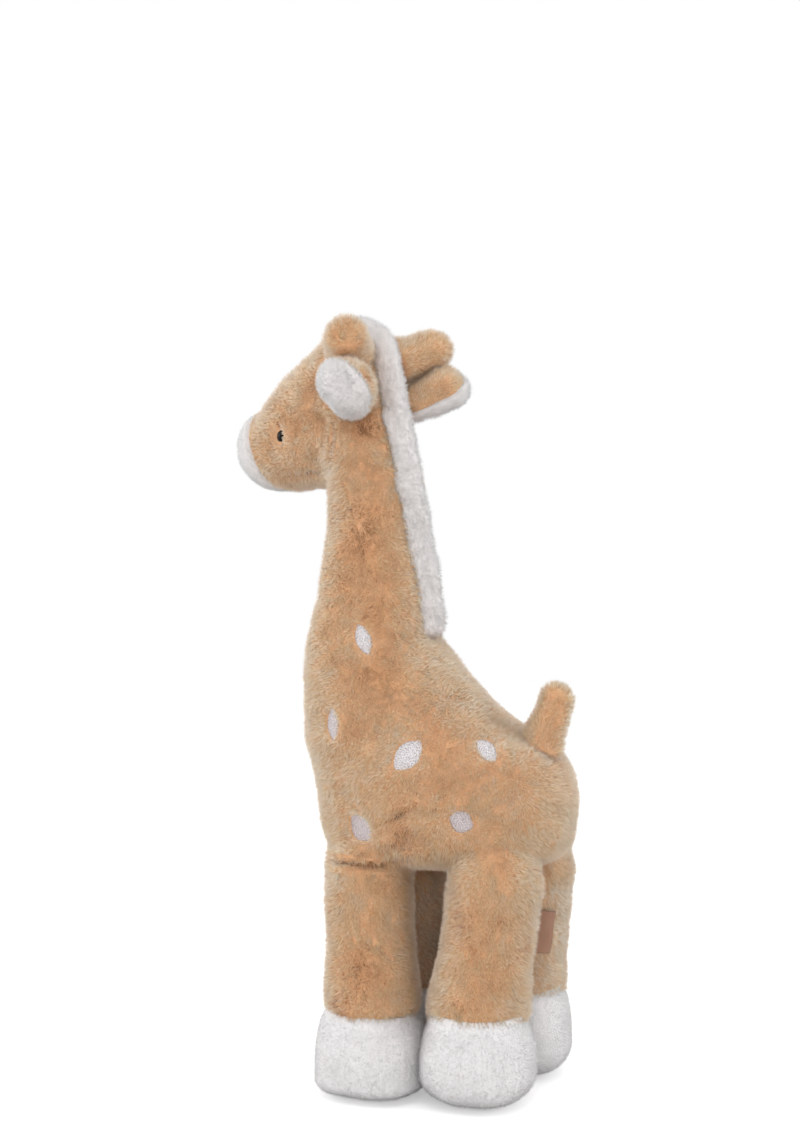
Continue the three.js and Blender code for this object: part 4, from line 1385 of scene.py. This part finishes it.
def make_label(surface):
    """A bare ribbon that follows the leg, level with the pile round it."""
    cols, rows = 24, 30
    middle, out, u, v = label_frame()
    points, places = [], []
    for row in range(rows + 1):
        for col in range(cols + 1):
            s, t = (col / cols - 0.5) * LABEL_WIDE, (row / rows - 0.5) * LABEL_HIGH
            start = middle + u * s + v * t + out * 60
            wave = 0.25 * math.sin(s * 0.5) * math.sin(t * 0.35)
            lift = 2.9 + wave - 0.5 * (abs(s) / (LABEL_WIDE / 2)) ** 6
            points.append(laid_on(surface, start, out, lift))
            places.append((s, t))
    faces = []
    for row in range(rows):
        for col in range(cols):
            a = row * (cols + 1) + col
            faces.append([a, a + 1, a + cols + 2, a + cols + 1])
    label = mesh_object("label_ribbon", (np.array(points), faces))
    mapped(label.data, "Weave", places)
    thickened(label, 0.0004)
    return label


def add_spots(surface):
    for spot in SPOTS:
        leaf = make_spot(spot, surface)
        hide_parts(spot.name)
        # Spots 2, 5 and 6 lie in shade and take the stitches with painted shade.
        in_painted_shade = spot.name[-1] in "256"
        fit(leaf, STITCHES_IN_PAINTED_SHADE if in_painted_shade else STITCHES, "body")


def add_label(surface):
    label = make_label(surface)
    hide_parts("label")
    fit(label, RIBBON, "body")


def bare_body(points):
    """Where the body's pile leaves room for the label, the eyes and the socks."""
    bare = under_label(points)
    for side in SIDES:
        clear = eye_middle(side) + HEAD[:3, :3] @ np.array([0, 0.8, 0])
        bare |= lengths(points - clear) <= 3.9
    for leg in LEGS:
        line = leg.sock - 2.0 + 0.6 * waves(points * (1, 1, 0), 12, 5)
        far = lengths(points[:, :2] - leg_axis(leg, HOOF_HEIGHT))
        bare |= (points[:, 2] <= line) & (far <= 34)
    return bare


def body_way(points):
    """Down the body and back along the head."""
    share = between(points[:, 2] - JAW, -6, 10)[:, None]
    head_way = HEAD[:3, :3] @ np.array([0, 0.8, -0.45])
    return np.array([0, 0.3, -1]) * (1 - share) + head_way * share


def build():
    skins, (points, normals), inside = make_body_and_head()
    mane, mane_places, mane_surface = make_mane()
    horns = {side: make_horn(side) for side in SIDES}
    ears = {side: make_ear(side) for side in SIDES}
    tail = make_tail()
    hooves = [make_hoof(leg) for leg in LEGS]
    add_spots(inside)
    add_label(nearest_surface(skins["leg_hind_right"][0]))

    def dress_parts(parts, pile, body=None):
        for node, (obj, planes) in parts.items():
            dress(node, obj, pile, within(pile.places, planes), body)

    def in_muzzle(at):
        return within(at, skins["muzzle"][1])

    hidden = [mane_surface, nearest_surface(tail)]
    hidden += [nearest_surface(horn) for horn in horns.values()]
    hidden += [surface for _, _, surface in ears.values()]
    keep = ~bare_body(points)
    places = points[keep], normals[keep]
    dress_parts(skins, plan_pile(places, body_way, 100, hidden, in_muzzle))
    dress_parts(mane, plan_pile(mane_places, (0, 0.2, -1), 200, [inside], everywhere, 2.7))

    for index, (leg, hoof) in enumerate(zip(LEGS, hooves)):
        points, normals = scatter(hoof, 300 + index)
        keep = (points[:, 2] > 3) & (points[:, 2] < leg.sock - 1)
        places, seed = (points[keep], normals[keep]), 310 + 10 * index
        # Painted light: the hooves' white pile is a little lighter than the other white pile.
        pile = plan_pile(places, (0, 0, -1), seed, [inside], everywhere, level=0.68)
        dress(f"hoof_{leg.name}", hoof, pile, backing=HOOF_BACKING_PAINTED_LIGHT)

    for side, word in SIDES.items():
        horn, seed = horns[side], 400 + 50 * side
        pile = plan_pile(scatter(horn, seed), horn_place(side)[:3, 2], seed, [inside])
        dress(f"horn_{word}", horn, pile, body=f"horn_{word}")

        def in_lining(at):
            return within(at, ears[side][0][f"ear_lining_{word}"][1])

        way, places = ear_place(side)[:3, 2], ears[side][1]
        pile = plan_pile(places, way, seed + 10, [inside], in_lining, 2.9)
        dress_parts(ears[side][0], pile, f"ear_{word}")
        bead = make_eye(side)
        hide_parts(f"eye_{word}")
        fit(bead, EYE_GLOSS, "head")

    dress("tail", tail, plan_pile(scatter(tail, 76), TAIL[:3, 2], 77, [inside]), body="tail")


# ---- Studio ----


def make_floor():
    bpy.ops.mesh.primitive_plane_add(size=8, location=(0, 0, 0))
    floor = bpy.context.object
    floor.name = "floor"
    material, tree, shader = new_material("pale_floor", 0.9, 0.1)
    path = node_of(tree, "LightPath", {})
    inputs = {0: path.outputs["Is Camera Ray"], 1: 0.4}
    glow = node_of(tree, "Math", inputs, operation="MULTIPLY")
    filled(tree, shader, {
        "Base Color": (0.8, 0.8, 0.8, 1), "Emission Color": (1, 1, 1, 1),
        "Emission Strength": glow.outputs[0],
    })
    floor.data.materials.append(material)


def make_world():
    """Light from all round that shows a little paler to the camera and in gloss."""
    world = bpy.data.worlds.new("studio")
    bpy.context.scene.world = world
    world.use_nodes = True
    tree = world.node_tree
    path = node_of(tree, "LightPath", {})
    inputs = {0: path.outputs["Is Camera Ray"], 1: path.outputs["Is Glossy Ray"]}
    seen = node_of(tree, "Math", inputs, operation="MAXIMUM")
    level = node_of(tree, "MapRange", {"Value": seen.outputs[0], "To Min": 0.84, "To Max": 1.0})
    sky = {"Color": (1, 1, 1, 1), "Strength": level.outputs["Result"]}
    filled(tree, tree.nodes["Background"], sky)


def soft_light(name, place, aim, size, power):
    """A round lamp that points at this height of the giraffe."""
    data = bpy.data.lights.new(name, "AREA")
    data.shape = "DISK"
    data.size = size
    data.energy = power
    light = new_object(name, data)
    light.location = place
    way = Vector((0, 0, aim)) - Vector(place)
    light.rotation_euler = way.to_track_quat("-Z", "Y").to_euler()


make_camera()
make_floor()
make_world()
soft_light("front_left", (0.5, -1.7, 0.8), 0.22, 1.2, 11.8)
soft_light("back_right", (-0.5, 1.8, 0.9), 0.22, 1.2, 10)
soft_light("above", (0.9, 0.3, 1.8), 0.2, 1.2, 7.6)
soft_light("low_front", (1.9, 0.5, 0.5), 0.15, 1.4, 11.5)
bpy.context.scene.view_settings.view_transform = "Standard"

build()
